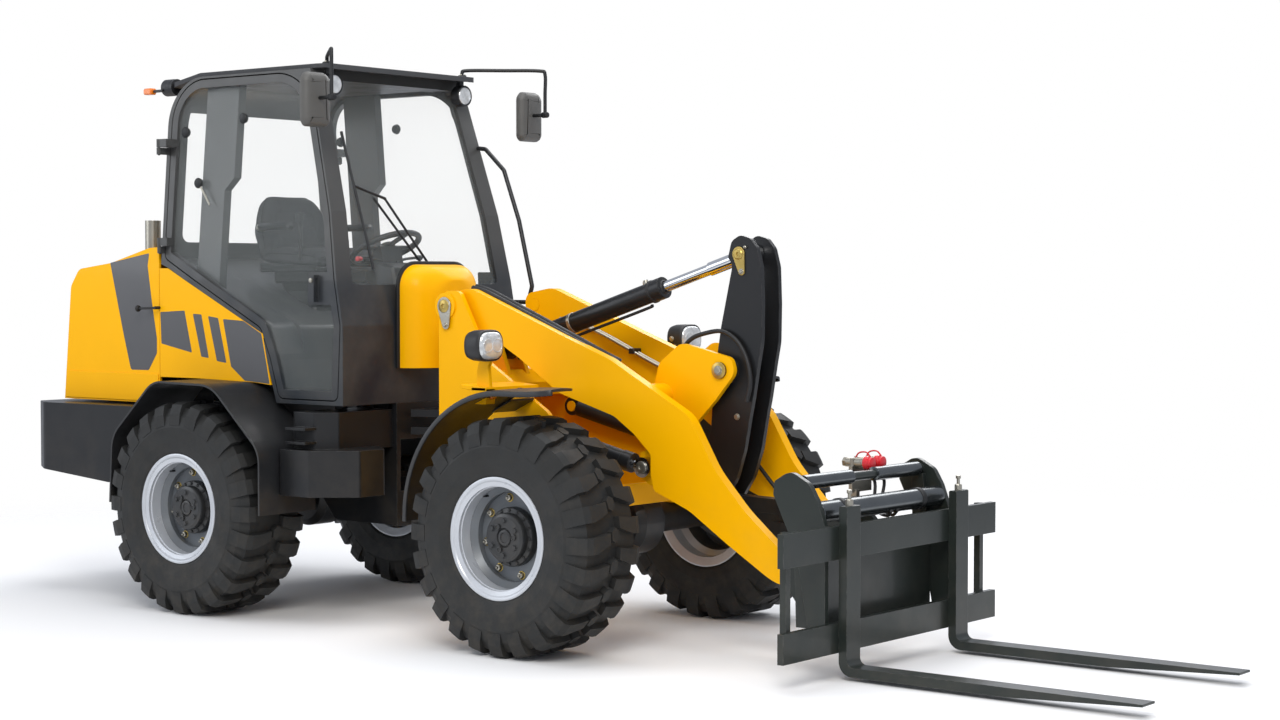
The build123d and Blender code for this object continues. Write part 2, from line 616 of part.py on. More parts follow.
def side_at(z):
    # Half the cab's width at a height above the belt line
    return CAB_HALF - (z - CAB_BELT) * (CAB_HALF - CAB_ROOF_HALF) / (CAB_TOP - CAB_BELT)


def upright_pin(z_from, z_to, radius):
    # A round bar on the axis that a door swings on
    return Pos(DOOR_HINGE_X, DOOR_HINGE_Y, (z_from + z_to) / 2) * Cylinder(radius, z_to - z_from)


def hinge_leaf(z):
    face = side_at(z)
    root, end = DOOR_REAR + 16, DOOR_REAR + 45
    leaf = block(root, end, face - 12, DOOR_HINGE_Y + 6, z, z + HINGE_HEIGHT)
    leaf += block(DOOR_HINGE_X, end, face + MOVING_GAP + 4, DOOR_HINGE_Y + 6, z, z + HINGE_HEIGHT)
    leaf += upright_pin(z, z + HINGE_HEIGHT, HINGE_RADIUS)
    return leaf + upright_pin(z - HINGE_HEIGHT, z + HINGE_HEIGHT, HINGE_PIN)


def hinge_lug(z):
    low, high = z - HINGE_HEIGHT + 4, z - 2
    lug = block(DOOR_HINGE_X - 8, DOOR_HINGE_X + 10, side_at(z) - 12, DOOR_HINGE_Y, low, high)
    lug += upright_pin(low, high, HINGE_RADIUS)
    return lug - upright_pin(low - 1, high + 1, HINGE_PIN + PIN_GAP)


def front_light():
    # The windscreen's opening, narrower at the top like the cab
    return facing([(-510, 1580), (510, 1580), (440, 2556), (-440, 2556)], -700, -100, 25)


def rear_light():
    return facing([(-505, 1790), (505, 1790), (445, 2470), (-445, 2470)], -1700, -1440, 40)


def cab_frame():
    cab = cab_skin(0, CAB_WALL)
    post_in = DOOR_FRAME + MOVING_GAP
    cab -= side_walls(-50, post_in) & pair(door_prism(MOVING_GAP))
    cab -= pair(door_prism(-DOOR_STOP))
    for z in DOOR_HINGES:
        cab += pair(hinge_lug(z))
    ear = upright([(-1490, 1740), (-1490, 1790), (-1508.5, 1790), (-1508.5, 1755), (-1495, 1740)], 400, 424, 3)
    ear -= across((HOOD_HINGE_X0Z[0], HOOD_HINGE_X0Z[2]), 6 + SEAT, 390, 430)
    cab += pair(ear)
    cab -= front_light()
    cab -= rear_light()
    post = [(-1265, 1400), (-1100, 1400), (-1100, 2040), (-1035, 2100), (-1035, 2700), (-1265, 2700)]
    cab += side_walls(post_in, post_in + 46) & pair(upright(post, 400, 700)) & cab_body(0)
    return cab


def lock_plate():
    return upright([(-428, 1485), (-428, 1640), (-250, 1640), (-250, 1485)], 400, 700, 10) & door_prism(0)


def door_frame(side):
    frame = side_walls(0, DOOR_FRAME) & (door_prism(0) - door_prism(-40) + lock_plate())
    handle = block(-400, -360, side_at(1564) - 10, side_at(1564) + 28, 1500, 1625)
    handle -= block(-410, -350, side_at(1564) - 1, side_at(1564) + 16, 1515, 1610)
    frame += handle
    for z in DOOR_HINGES:
        frame += hinge_leaf(z)
    return on_side(frame, side)


def door_glass(side):
    pane = side_walls(16, 16 + GLASS) & (door_prism(-40) - lock_plate())
    return on_side(pane, side)


def cab_windows():
    front = cab_skin(16, 16 + GLASS) & front_light()
    rear = cab_skin(16, 16 + GLASS) & rear_light()
    return front + rear


def cab_roof():
    under = CAB_TOP + SEAT
    top = under + ROOF_SHEET
    side = upright([(-360, under - 12), (-362, top - 6), (-405, top), (-1290, top), (-1560, top - 35), (-1560, top - 60),
                    (-1300, under), (-420, under)], -560, 560, [2, 3, 40, 60, 8, 8, 40, 20])
    plan = flat([(-360, -490), (-360, 490), (-470, 512), (-1300, 512), (-1560, 470), (-1560, -470), (-1300, -512), (-470, -512)],
                2400, 2700, [50, 50, 60, 60, 50, 50, 60, 60])
    return side & plan


def floor_height(x):
    # The cab floor slopes up over the engine behind the seat's front edge
    slope = (1660 - 1345) / (1435 - 745)
    return 1345 + (-745 - x) * slope + CAB_WALL * hypot(1, slope)


def seat():
    rise = 0.3
    pedestal = upright([(-1130, floor_height(-1130) + rise), (-830, floor_height(-830) + rise), (-830, 1650), (-1130, 1650)], -190, 190)
    cushion = block(-1180, -760, -240, 240, 1640, 1750)
    back = upright([(-1200, 1700), (-1110, 1700), (-1215, 2100), (-1300, 2100)], -230, 230, 20)
    return pedestal + cushion + back


def steering_console():
    column = upright([(-420, 1060.3), (-320, 1060.3), (-490, 1775), (-545, 1750)], -70, 70, 10)
    wheel = Pos(-520, 0, 1760) * Rot(0, -25, 0) * Torus(170, 15)
    spokes = Pos(-520, 0, 1760) * Rot(0, -25, 0) * (Box(332, 30, 12) + Box(30, 332, 12))
    return column + wheel + spokes


def front_cover():
    arch = facing([(-262, 1180), (-262, 1560), (-200, 1680), (200, 1680), (262, 1560), (262, 1180)], -200 + SEAT, 100, [10, 120, 120, 120, 120, 10])
    hollow = facing([(-250, 1170), (-250, 1556), (-192, 1668), (192, 1668), (250, 1556), (250, 1170)], -210, 88, [10, 110, 110, 110, 110, 10])
    return arch - hollow


def side_panels():
    panel = upright([(-1495, 1117.3), (-1495, 1659), (-1435, 1659), (-745.5, 1344.4), (-712.5, 1204.5), (-690, 1100), (-800, 1109.6), (-1210, 1117.3)], CAB_HALF - 20, CAB_HALF)
    return pair(panel)


def hood_form():
    outline = [(-1510, 985), (-1510, 1765), (-1586, 1761), (-1884, 1687), (-2142, 1657), (-2209, 1569), (-2267, 985)]
    radii = [0, 20, 60, 200, 60, 60, 0]
    return upright(outline, -HOOD_HALF, HOOD_HALF, radii)


def hood_back(z):
    # X of the hood's leaning rear face at a height
    return -2267 + (z - 985) * 58 / 584


def hood():
    radii = [0, 20, 60, 200, 60, 60, 0]
    outer = hood_form()
    inner_outline = [(-1400, 900), (-1400, 1750), (-1586, 1747), (-1882, 1673), (-2134, 1643), (-2195, 1563), (-2253, 900)]
    inner = upright(inner_outline, -HOOD_HALF + HOOD_WALL, HOOD_HALF - HOOD_WALL, radii)
    shell = outer - inner
    for k in range(GRILLE_SLOTS):
        low = GRILLE_BOTTOM + GRILLE_PITCH * k
        high = low + GRILLE_PITCH / 2
        back, top_back = hood_back(low), hood_back(high)
        slot = [(back - 5, low), (back + GRILLE_DEPTH, low), (top_back + GRILLE_DEPTH, high), (top_back - 5, high)]
        shell -= upright(slot, -GRILLE_HALF, GRILLE_HALF)
    hinge = (HOOD_HINGE_X0Z[0], HOOD_HINGE_X0Z[2])
    arm = upright([(-1530, 1745), (-1530, 1768), (-1504, 1780), (-1500, 1764), (-1514, 1745)], 428, 458)
    arm += across(hinge, 9, 428, 458)
    pin = across(hinge, 6, 400, 445)
    return shell + pair(arm + pin)


def pipe(points, bend, radius):
    # A round tube bent along points that lie in one plane
    path = FilletPolyline(*points, radius=bend)
    return sweep(Plane(path @ 0, z_dir=path % 0) * Circle(radius), path=path)


def mirrors():
    foot = CAB_TOP + ROOF_SHEET + 2 * SEAT
    arm = pipe([(-440, 470, foot), (-440, 470, foot + 32), (-125, 746, foot + 32), (-125, 746, 2431)], 28, 9)
    flange = Pos(-440, 470, foot + 4) * Cylinder(22, 8)
    stub = rod((-125, 746, 2436), (-215, 746, 2436), 9)
    head = fillet(block(-248, -203, 662, 830, 2305, 2555).edges(), 16)
    return pair(arm + flange + stub + head)


def work_lamps():
    front = Pos(-430, 452, 2528) * Rot(0, 90, 0) * Cylinder(LAMP_RADIUS, 50)
    front += block(-452, -426, 438, 466, 2560, CAB_TOP)
    rear = Pos(-1600 - SEAT, 430, 2573) * Rot(0, 90, 0) * Cylinder(LAMP_RADIUS - 10, 80)
    return pair(front) + pair(rear)


def hand_rail():
    rail = [(-398, 540, 2268), (-345, 540, 2262), (-221, 540, 2152), (-121, 540, 1898), (-35, 540, 1570), (-60, 540, 1490), (-216, 540, 1490)]
    return pipe(rail, 28, 11) - cab_body(-SEAT)


def wiper():
    boss = rod((-250, 90, 1547), (-198, 90, 1547), 30) - cab_body(-SEAT)
    arms = rod((-204, 72, 1540), (-296, -309, 1992), 6) + rod((-204, 107, 1540), (-296, -234, 1992), 6)
    arms += rod((-296, -228, 1990), (-324, -406, 2047), 7)
    return boss + arms + rod((-390, -428, 2305), (-230, -376, 1652), 7)


def exhaust_pipe():
    return rod((-1795, -400, 1680), (-1795, -400, 1905), 40) - Pos(0, 0, SEAT) * hood_form()


NODES = {
    "front_frame": front_frame,
    "front_axle": lambda: axle(AXLE_X),
    "front_fenders": front_fenders,
    "headlamps": headlamps,
    "boom": boom,
    "bellcrank": bellcrank,
    "tilt_link": tilt_link,
    "tilt_barrel": lambda: barrel(TILT_BASE, CRANK_TOP, 0, TILT_BARREL_RADIUS, TILT_ROD_SHOWS, TILT_ROD_RADIUS, TILT_EYE_WIDTH),
    "tilt_rod": lambda: plunger(TILT_BASE, CRANK_TOP, 0, TILT_ROD_RADIUS, TILT_BARREL_RADIUS, TILT_PISTON, TILT_EYE_WIDTH, TILT_NECK),
    "lift_barrel_left": lambda: barrel(LIFT_BASE, LIFT_HEAD, LIFT_Y, LIFT_BARREL_RADIUS, LIFT_ROD_SHOWS, LIFT_ROD_RADIUS, EYE_WIDTH),
    "lift_barrel_right": lambda: barrel(LIFT_BASE, LIFT_HEAD, -LIFT_Y, LIFT_BARREL_RADIUS, LIFT_ROD_SHOWS, LIFT_ROD_RADIUS, EYE_WIDTH),
    "lift_rod_left": lambda: plunger(LIFT_BASE, LIFT_HEAD, LIFT_Y, LIFT_ROD_RADIUS, LIFT_BARREL_RADIUS, LIFT_PISTON, EYE_WIDTH, LIFT_NECK),
    "lift_rod_right": lambda: plunger(LIFT_BASE, LIFT_HEAD, -LIFT_Y, LIFT_ROD_RADIUS, LIFT_BARREL_RADIUS, LIFT_PISTON, EYE_WIDTH, LIFT_NECK),
    "steer_barrel": steer_barrel,
    "steer_rod": steer_rod,
    "quick_coupler": quick_coupler,
    "fork_carriage": fork_carriage,
    "fork_tines": fork_tines,
    "hydraulic_couplings": hydraulic_couplings,
    "rear_frame": rear_frame,
    "rear_axle": lambda: axle(-AXLE_X),
    "counterweight": counterweight,
    "engine_block": engine_block,
    "rear_fenders": rear_fenders,
    "side_boxes": side_boxes,
    "cab_frame": cab_frame,
    "cab_roof": cab_roof,
    "cab_windows": cab_windows,
    "seat": seat,
    "steering_console": steering_console,
    "front_cover": front_cover,
    "side_panels": side_panels,
    "hood": hood,
    "mirrors": mirrors,
    "work_lamps": work_lamps,
    "hand_rail": hand_rail,
    "wiper": wiper,
    "exhaust_pipe": exhaust_pipe,
    "door_frame_left": lambda: door_frame(1),
    "door_frame_right": lambda: door_frame(-1),
    "door_glass_left": lambda: door_glass(1),
    "door_glass_right": lambda: door_glass(-1),
}
for corner, x in (("front", AXLE_X), ("rear", -AXLE_X)):
    for name, side in (("left", 1), ("right", -1)):
        NODES[f"tyre_{corner}_{name}"] = lambda x=x, side=side: tyre(x, side)
        NODES[f"rim_{corner}_{name}"] = lambda x=x, side=side: rim(x, side)


def main():
    os.makedirs("parts", exist_ok=True)
    middle = (FORK_TIP + REAR_END) / 2
    for name, build in NODES.items():
        shape = Pos(-middle, 0, 0) * build()
        shape.label = name
        export_step(shape, f"parts/{name}.step")


if __name__ == "__main__":
    main()
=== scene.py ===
import math

import bpy
import bmesh
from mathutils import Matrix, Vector


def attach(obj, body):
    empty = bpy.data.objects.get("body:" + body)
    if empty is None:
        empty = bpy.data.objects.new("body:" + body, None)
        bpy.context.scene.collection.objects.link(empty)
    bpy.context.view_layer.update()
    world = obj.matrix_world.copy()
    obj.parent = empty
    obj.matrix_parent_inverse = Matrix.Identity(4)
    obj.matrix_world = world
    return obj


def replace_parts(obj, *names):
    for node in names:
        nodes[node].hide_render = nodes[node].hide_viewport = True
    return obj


# Lengths below are in millimetres from the articulation pin, Y to the left, Z up, as in the part's source.
# SHIFT moves them to the frame's own middle.
SHIFT = 650.0
MM = 0.001

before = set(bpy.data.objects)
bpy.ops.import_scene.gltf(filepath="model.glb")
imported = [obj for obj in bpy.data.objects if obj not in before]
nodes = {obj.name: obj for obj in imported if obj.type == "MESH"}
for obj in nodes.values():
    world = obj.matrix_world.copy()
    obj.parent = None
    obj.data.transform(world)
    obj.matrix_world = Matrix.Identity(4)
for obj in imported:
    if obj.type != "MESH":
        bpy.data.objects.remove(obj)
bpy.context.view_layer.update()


def place(point):
    x, y, z = point
    return Vector(((x - SHIFT) * MM, y * MM, z * MM))


def srgb(r, g, b):
    def one(v):
        v /= 255.0
        return v / 12.92 if v <= 0.04045 else ((v + 0.055) / 1.055) ** 2.4
    return (one(r), one(g), one(b), 1.0)


def settings(node, **values):
    # Input values of a shader node, with the spaces of their names written as underscores
    for key, value in values.items():
        node.inputs[key.replace("_", " ")].default_value = value


# Materials
class Shader:
    # One node-based material, built up feature by feature
    def __init__(self, name, colour, rough, metal=0.0, coat=0.0, spec=0.5, edge=0.0025):
        self.mat = bpy.data.materials.new(name)
        self.mat.use_nodes = True
        self.tree = self.mat.node_tree
        self.bsdf = self.tree.nodes["Principled BSDF"]
        self.colour = colour
        self.coords = self.node("ShaderNodeTexCoord").outputs["Object"]
        settings(self.bsdf, Metallic=metal, Coat_Weight=coat, Coat_Roughness=0.08, Specular_IOR_Level=spec)
        base = self.node("ShaderNodeRGB")
        base.outputs[0].default_value = colour
        self.out = base.outputs[0]
        self.height = None
        self.rough = rough
        self.edge = edge

    def node(self, kind, **values):
        n = self.tree.nodes.new(kind)
        for key, value in values.items():
            setattr(n, key, value)
        return n

    def link(self, a, b):
        self.tree.links.new(a, b)

    def noise(self, scale, detail=4.0, rough=0.55, stretch=None):
        n = self.node("ShaderNodeTexNoise")
        settings(n, Scale=scale, Detail=detail, Roughness=rough)
        source = self.coords
        if stretch:
            m = self.node("ShaderNodeMapping")
            settings(m, Scale=stretch)
            self.link(source, m.inputs["Vector"])
            source = m.outputs["Vector"]
        self.link(source, n.inputs["Vector"])
        return n.outputs["Fac"]

    def span(self, value, low, high, to_low=0.0, to_high=1.0):
        n = self.node("ShaderNodeMapRange")
        settings(n, From_Min=low, From_Max=high, To_Min=to_low, To_Max=to_high)
        self.link(value, n.inputs["Value"])
        return n.outputs["Result"]

    def math(self, operation, a, b):
        n = self.node("ShaderNodeMath", operation=operation)
        for i, v in enumerate((a, b)):
            if isinstance(v, (int, float)):
                n.inputs[i].default_value = v
            else:
                self.link(v, n.inputs[i])
        return n.outputs[0]

    def blend(self, factor, colour):
        # Mixes another colour in where the factor is high
        n = self.node("ShaderNodeMix", data_type="RGBA")
        self.link(factor, n.inputs["Factor"])
        self.link(self.out, n.inputs["A"])
        settings(n, B=colour)
        self.out = n.outputs["Result"]
        return self

    def mottle(self, scale, amount):
        # Slow, faint change of tone over the surface
        dark = tuple(c * (1 - amount) for c in self.colour[:3]) + (1.0,)
        return self.blend(self.span(self.noise(scale), 0.35, 0.7), dark)

    def lowness(self, top, bottom):
        # From 0 at one height to 1 at a lower one, in metres
        sep = self.node("ShaderNodeSeparateXYZ")
        self.link(self.coords, sep.inputs[0])
        return self.span(sep.outputs["Z"], top, bottom)

    def grime(self, colour, top, bottom, strength, scale=5.0):
        # Dust that thickens towards the ground, broken up by noise
        fall = self.lowness(top, bottom)
        spots = self.span(self.noise(scale, 8.0, 0.65), 0.42, 0.72)
        return self.blend(self.math("MULTIPLY", self.math("MULTIPLY", fall, spots), strength), colour)

    def fade(self, colour, top, bottom):
        # Painted shade: another, darker tone blended in low down, with a soft change
        return self.blend(self.lowness(top, bottom), colour)

    def wear(self, colour, strength):
        # Rubbed edges: where the rounded normal leaves the flat one
        round_edge = self.node("ShaderNodeBevel", samples=4)
        settings(round_edge, Radius=0.004)
        flat = self.node("ShaderNodeNewGeometry")
        dot = self.node("ShaderNodeVectorMath", operation="DOT_PRODUCT")
        self.link(round_edge.outputs[0], dot.inputs[0])
        self.link(flat.outputs["Normal"], dot.inputs[1])
        edge = self.span(dot.outputs["Value"], 0.985, 0.86)
        spots = self.span(self.noise(38.0, 6.0), 0.42, 0.62)
        return self.blend(self.math("MULTIPLY", self.math("MULTIPLY", edge, spots), strength), colour)

    def bump(self, scale, strength, detail=3.0, stretch=None):
        n = self.node("ShaderNodeBump")
        settings(n, Strength=strength, Distance=0.001)
        self.link(self.noise(scale, detail, stretch=stretch), n.inputs["Height"])
        if self.height is not None:
            self.link(self.height, n.inputs["Normal"])
        self.height = n.outputs["Normal"]
        return self

    def done(self):
        self.link(self.out, self.bsdf.inputs["Base Color"])
        spots = self.span(self.noise(9.0, 6.0, 0.6), 0.3, 0.75, self.rough * 0.82, min(1.0, self.rough * 1.2))
        self.link(spots, self.bsdf.inputs["Roughness"])
        if self.edge:
            soft = self.node("ShaderNodeBevel", samples=4)
            settings(soft, Radius=self.edge)
            if self.height is None:
                self.height = soft.outputs[0]
            else:
                first = self.height.node
                while first.inputs["Normal"].is_linked:
                    first = first.inputs["Normal"].links[0].from_node
                self.link(soft.outputs[0], first.inputs["Normal"])
        if self.height is not None:
            self.link(self.height, self.bsdf.inputs["Normal"])
        return self.mat


DUST = srgb(120, 108, 92)
STEEL_WEAR = srgb(120, 118, 114)


def glass(name, tint, alpha):
    s = Shader(name, tint, 0.03, edge=0.0)
    settings(s.bsdf, Alpha=alpha, IOR=1.3)
    return s.mottle(2.0, 0.1).done()


MAT = {
    "yellow": Shader("yellow_paint", srgb(252, 183, 0), 0.38, coat=0.05, spec=0.1).mottle(2.5, 0.05)
    .grime(DUST, 0.8, 0.2, 0.12).bump(350, 0.03).done(),
    "black": Shader("black_paint", srgb(26, 27, 29), 0.38, coat=0.06, spec=0.35).mottle(3.0, 0.15)
    .grime(DUST, 1.0, 0.2, 0.18).wear(STEEL_WEAR, 0.35).bump(260, 0.05).done(),
    "carriage": Shader("carriage_paint", srgb(36, 42, 39), 0.34, coat=0.1, spec=0.35).mottle(3.5, 0.15)
    .grime(DUST, 0.8, 0.0, 0.14).wear(STEEL_WEAR, 0.55).bump(220, 0.06).done(),
    # The cab paint turns a cool dark grey from 1.8 m down to 1.5 m: painted shade on the lower cab
    "cab": Shader("cab_paint", srgb(72, 72, 71), 0.4, coat=0.04, spec=0.35).fade(srgb(27, 34, 42), 1.8, 1.5)
    .mottle(3.0, 0.1).bump(280, 0.05).done(),
    "roof": Shader("roof_plastic", srgb(66, 67, 69), 0.62, spec=0.25).mottle(4.0, 0.06).bump(500, 0.08).done(),
    "stripe": Shader("stripe_film", srgb(74, 74, 76), 0.34, coat=0.25, edge=0.0).mottle(3.0, 0.06).bump(350, 0.03).done(),
    "fender": Shader("fender_plastic", srgb(32, 33, 35), 0.42).mottle(4.0, 0.12)
    .grime(DUST, 1.1, 0.5, 0.12).bump(420, 0.08).done(),
    "plastic": Shader("moulded_plastic", srgb(32, 33, 35), 0.5).mottle(5.0, 0.15).bump(600, 0.08).done(),
    "trim": Shader("dark_trim", srgb(20, 21, 22), 0.5).mottle(5.0, 0.15).bump(500, 0.2).done(),
    "rubber": Shader("tyre_rubber", srgb(40, 41, 41), 0.62, spec=0.3, edge=0.0).mottle(7.0, 0.25)
    .grime(DUST, 1.1, 0.0, 0.16, 14.0).bump(160, 0.3, 5.0).bump(900, 0.15).done(),
    "hose": Shader("hose_rubber", srgb(26, 26, 27), 0.5, edge=0.0).mottle(20.0, 0.2).bump(700, 0.3).done(),
    "silver": Shader("rim_silver", srgb(196, 200, 206), 0.32, metal=0.25, coat=0.3).mottle(5.0, 0.08)
    .grime(DUST, 1.0, 0.1, 0.1, 16.0).bump(420, 0.06).done(),
    # Mid grey for the wheel disc and the deep barrel step: partly their own tone, partly painted shade in these
    # recesses
    "disc": Shader("rim_disc", srgb(108, 113, 118), 0.42, metal=0.2).mottle(6.0, 0.15)
    .grime(DUST, 1.0, 0.1, 0.2, 16.0).bump(300, 0.1).done(),
    "hub": Shader("hub_paint", srgb(36, 38, 40), 0.4, coat=0.1).mottle(8.0, 0.2)
    .grime(DUST, 1.0, 0.1, 0.16, 16.0).bump(160, 0.25).done(),
    "tube": Shader("dark_chrome", srgb(96, 100, 102), 0.22, metal=0.9).mottle(8.0, 0.12).bump(600, 0.05).done(),
    "chrome": Shader("chrome_rod", srgb(210, 212, 215), 0.1, metal=1.0, edge=0.0).mottle(10.0, 0.06)
    .bump(900, 0.03, stretch=(1, 1, 6)).done(),
    "steel": Shader("plated_steel", srgb(176, 172, 160), 0.3, metal=0.9).mottle(14.0, 0.15).bump(600, 0.1).done(),
    "zinc": Shader("yellow_zinc", srgb(196, 170, 96), 0.34, metal=0.85).mottle(16.0, 0.22).bump(500, 0.1).done(),
    "red": Shader("red_cap", srgb(214, 32, 44), 0.35, coat=0.2).mottle(9.0, 0.12).bump(500, 0.1).done(),
    "amber": Shader("amber_lens", srgb(232, 120, 20), 0.2, coat=0.4).mottle(9.0, 0.1).bump(400, 0.1).done(),
    "tail": Shader("tail_lens", srgb(176, 16, 20), 0.18, coat=0.4).mottle(9.0, 0.1).bump(400, 0.1).done(),
    "lens": Shader("lamp_lens", srgb(226, 229, 230), 0.12, coat=0.6, metal=0.35).mottle(30.0, 0.35)
    .bump(90, 0.5, 2.0, stretch=(1, 1, 0.1)).done(),
    "mirror": Shader("mirror_glass", srgb(205, 210, 214), 0.04, metal=1.0, edge=0.0).mottle(3.0, 0.05).done(),
    "fabric": Shader("seat_fabric", srgb(62, 62, 65), 0.85, spec=0.25, edge=0.0).mottle(24.0, 0.3)
    .bump(1400, 0.15, 2.0).done(),
    "glass": glass("cab_glass", srgb(226, 234, 232), 0.05),
    "mirror_shell": Shader("mirror_shell", srgb(88, 87, 84), 0.5).mottle(5.0, 0.15).bump(600, 0.3).done(),
    "lining": Shader("cab_lining", srgb(98, 99, 101), 0.7).mottle(6.0, 0.1).bump(800, 0.08).done(),
}

SLOT_LOOK = {
    "yellow_paint": "yellow", "black_paint": "black", "crank_paint": "black", "carriage_paint": "carriage",
    "chrome_rod": "chrome", "coupling_steel": "steel", "fender_plastic": "fender", "lamp_housing": "plastic",
    "cab_paint": "cab", "roof_plastic": "roof", "glass": "glass", "seat_fabric": "fabric",
    "console_plastic": "plastic", "exhaust_steel": "steel", "tyre_rubber": "rubber", "rim_paint": "silver",
}


# Mesh building
class Kit:
    # Collects geometry that rides on one body and wears one or more materials
    def __init__(self, name, body, slot, *looks):
        self.name, self.body, self.slot, self.looks = name, body, slot, looks
        self.bm = bmesh.new()

    def add(self, verts, faces, look=None, both=False):
        index = self.looks.index(look) if look else 0
        for side in ((1, -1) if both else (1,)):
            made = [self.bm.verts.new(place((x, y * side, z))) for x, y, z in verts]
            for face in faces:
                order = face if side > 0 else face[::-1]
                try:
                    f = self.bm.faces.new([made[i] for i in order])
                except ValueError:
                    continue
                f.material_index = index
                f.smooth = True
        return self

    def prism(self, outline, low, high, plane="xz", bevel=2.0, look=None, both=False):
        # A plate with chamfered rims; the outline lies in the named plane
        put = {"xz": lambda a, b, c: (a, c, b), "yz": lambda a, b, c: (c, a, b)}[plane]
        area = sum(a[0] * b[1] - b[0] * a[1] for a, b in zip(outline, outline[1:] + outline[:1]))
        pts = outline if area > 0 else outline[::-1]
        bevel = min(bevel, abs(high - low) * 0.45)
        inner = inset(pts, bevel)
        low, high = min(low, high), max(low, high)
        levels = [(inner, low), (pts, low + bevel), (pts, high - bevel), (inner, high)]
        return self.loft([[put(a, b, c) for a, b in ring] for ring, c in levels], look, both, flip=plane == "xz")

    def box(self, x0, x1, y0, y1, z0, z1, bevel=2.0, look=None, both=False):
        x0, x1 = min(x0, x1), max(x0, x1)
        z0, z1 = min(z0, z1), max(z0, z1)
        b = min(bevel, (x1 - x0) * 0.4, (z1 - z0) * 0.4)
        corners = [(x0 + b, z0), (x1 - b, z0), (x1, z0 + b), (x1, z1 - b),
                   (x1 - b, z1), (x0 + b, z1), (x0, z1 - b), (x0, z0 + b)]
        return self.prism(corners, min(y0, y1), max(y0, y1), "xz", bevel, look, both)

    def lathe(self, profile, centre, axis, steps, look=None, both=False, looks=None):
        # A profile of (radius, reach along the axis) turned about the axis; looks may name one look per band
        centre, axis = Vector(centre), Vector(axis).normalized()
        u = axis.orthogonal().normalized()
        v = axis.cross(u)
        verts, faces, bands, rings = [], [], [], []
        for r, reach in profile:
            base = len(verts)
            if r < 1e-6:
                verts.append(tuple(centre + axis * reach))
                rings.append([base] * steps)
                continue
            for i in range(steps):
                a = 2 * math.pi * i / steps
                verts.append(tuple(centre + axis * reach + (u * math.cos(a) + v * math.sin(a)) * r))
            rings.append([base + i for i in range(steps)])
        for k, (a, b) in enumerate(zip(rings, rings[1:])):
            for i in range(steps):
                j = (i + 1) % steps
                face = [a[i], a[j], b[j], b[i]]
                face = [p for q, p in enumerate(face) if p not in face[:q]]
                if len(face) > 2:
                    faces.append(face[::-1])
                    bands.append(k)
        if looks:
            for k in sorted(set(bands)):
                self.add_shared(verts, [f for f, band in zip(faces, bands) if band == k], looks[k], both)
            return self
        return self.add(verts, faces, look, both)

    def add_shared(self, verts, faces, look, both):
        used = sorted({i for f in faces for i in f})
        renumber = {old: new for new, old in enumerate(used)}
        return self.add([verts[i] for i in used], [[renumber[i] for i in f] for f in faces], look, both)

    def loft(self, rings, look=None, both=False, near_cap=True, far_cap=True, flip=False, closed=False):
        # Skins a run of rings that all have the same count of points; closed joins the last ring to the first
        n, count = len(rings[0]), len(rings)
        faces = [[k * n + i, k * n + (i + 1) % n, (k + 1) % count * n + (i + 1) % n, (k + 1) % count * n + i]
                 for k in range(count if closed else count - 1) for i in range(n)]
        if near_cap:
            faces.append(list(range(n))[::-1])
        if far_cap:
            faces.append([(count - 1) * n + i for i in range(n)])
        if flip:
            faces = [face[::-1] for face in faces]
        return self.add([point for ring in rings for point in ring], faces, look, both)

    def rod(self, a, b, radius, look=None, both=False):
        a, b = Vector(a), Vector(b)
        n = (b - a).length
        bevel = min(1.5, radius * 0.4, n * 0.3)
        profile = [(0, 0), (radius - bevel, 0), (radius, bevel), (radius, n - bevel), (radius - bevel, n), (0, n)]
        return self.lathe(profile, a, b - a, 20, look, both)

    def hexes(self, centres, axis, across_flats=24.0, height=12.0, look=None, both=False):
        # Hexagon bolt heads on washers
        r = across_flats / math.sqrt(3)
        axis = Vector(axis).normalized()
        for c in centres:
            c = Vector(c)
            self.lathe([(r * 1.25, -1.0), (r * 1.25, 2.0), (0, 2.0)], c, axis, 16, look, both)
            self.lathe([(r, 1.0), (r, height - 1.5), (r * 0.86, height), (0, height)], c, axis, 6, look, both)
        return self

    def tube(self, points, radius, look=None, both=False, sides=10, samples=6, closed=False):
        # A round tube along a smooth line through the points
        line = smooth_line([Vector(p) for p in points], samples, closed)
        rings = []
        tangent = [(line[(i + 1) % len(line)] - line[i - 1]) if closed or 0 < i < len(line) - 1
                   else (line[min(i + 1, len(line) - 1)] - line[max(i - 1, 0)]) for i in range(len(line))]
        side = tangent[0].orthogonal().normalized()
        for p, t in zip(line, tangent):
            t = t.normalized()
            side = (side - t * side.dot(t)).normalized()
            other = t.cross(side)
            angles = [2 * math.pi * i / sides for i in range(sides)]
            rings.append([tuple(p + (side * math.cos(a) + other * math.sin(a)) * radius) for a in angles])
        return self.loft(rings, look, both, not closed, not closed, closed=closed)

    def done(self, angle=32.0):
        bmesh.ops.recalc_face_normals(self.bm, faces=self.bm.faces)
        mesh = bpy.data.meshes.new(self.name)
        self.bm.to_mesh(mesh)
        self.bm.free()
        for look in self.looks:
            mesh.materials.append(MAT[look])
        mesh.set_sharp_from_angle(angle=math.radians(angle))
        piece = bpy.data.objects.new(self.name, mesh)
        bpy.context.scene.collection.objects.link(piece)
        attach(piece, self.body)
        return piece


def inset(points, distance):
    # The outline moved inwards by mitring each corner; the points run anticlockwise
    out = []
    n = len(points)
    for i in range(n):
        ax, ay = points[i - 1]
        bx, by = points[i]
        cx, cy = points[(i + 1) % n]
        d1 = Vector((bx - ax, by - ay)).normalized()
        d2 = Vector((cx - bx, cy - by)).normalized()
        n1, n2 = Vector((-d1.y, d1.x)), Vector((-d2.y, d2.x))
        m = n1 + n2
        if m.length < 1e-6:
            out.append((bx, by))
            continue
        m.normalize()
        scale = distance / max(0.35, m.dot(n1))
        out.append((bx + m.x * scale, by + m.y * scale))
    return out


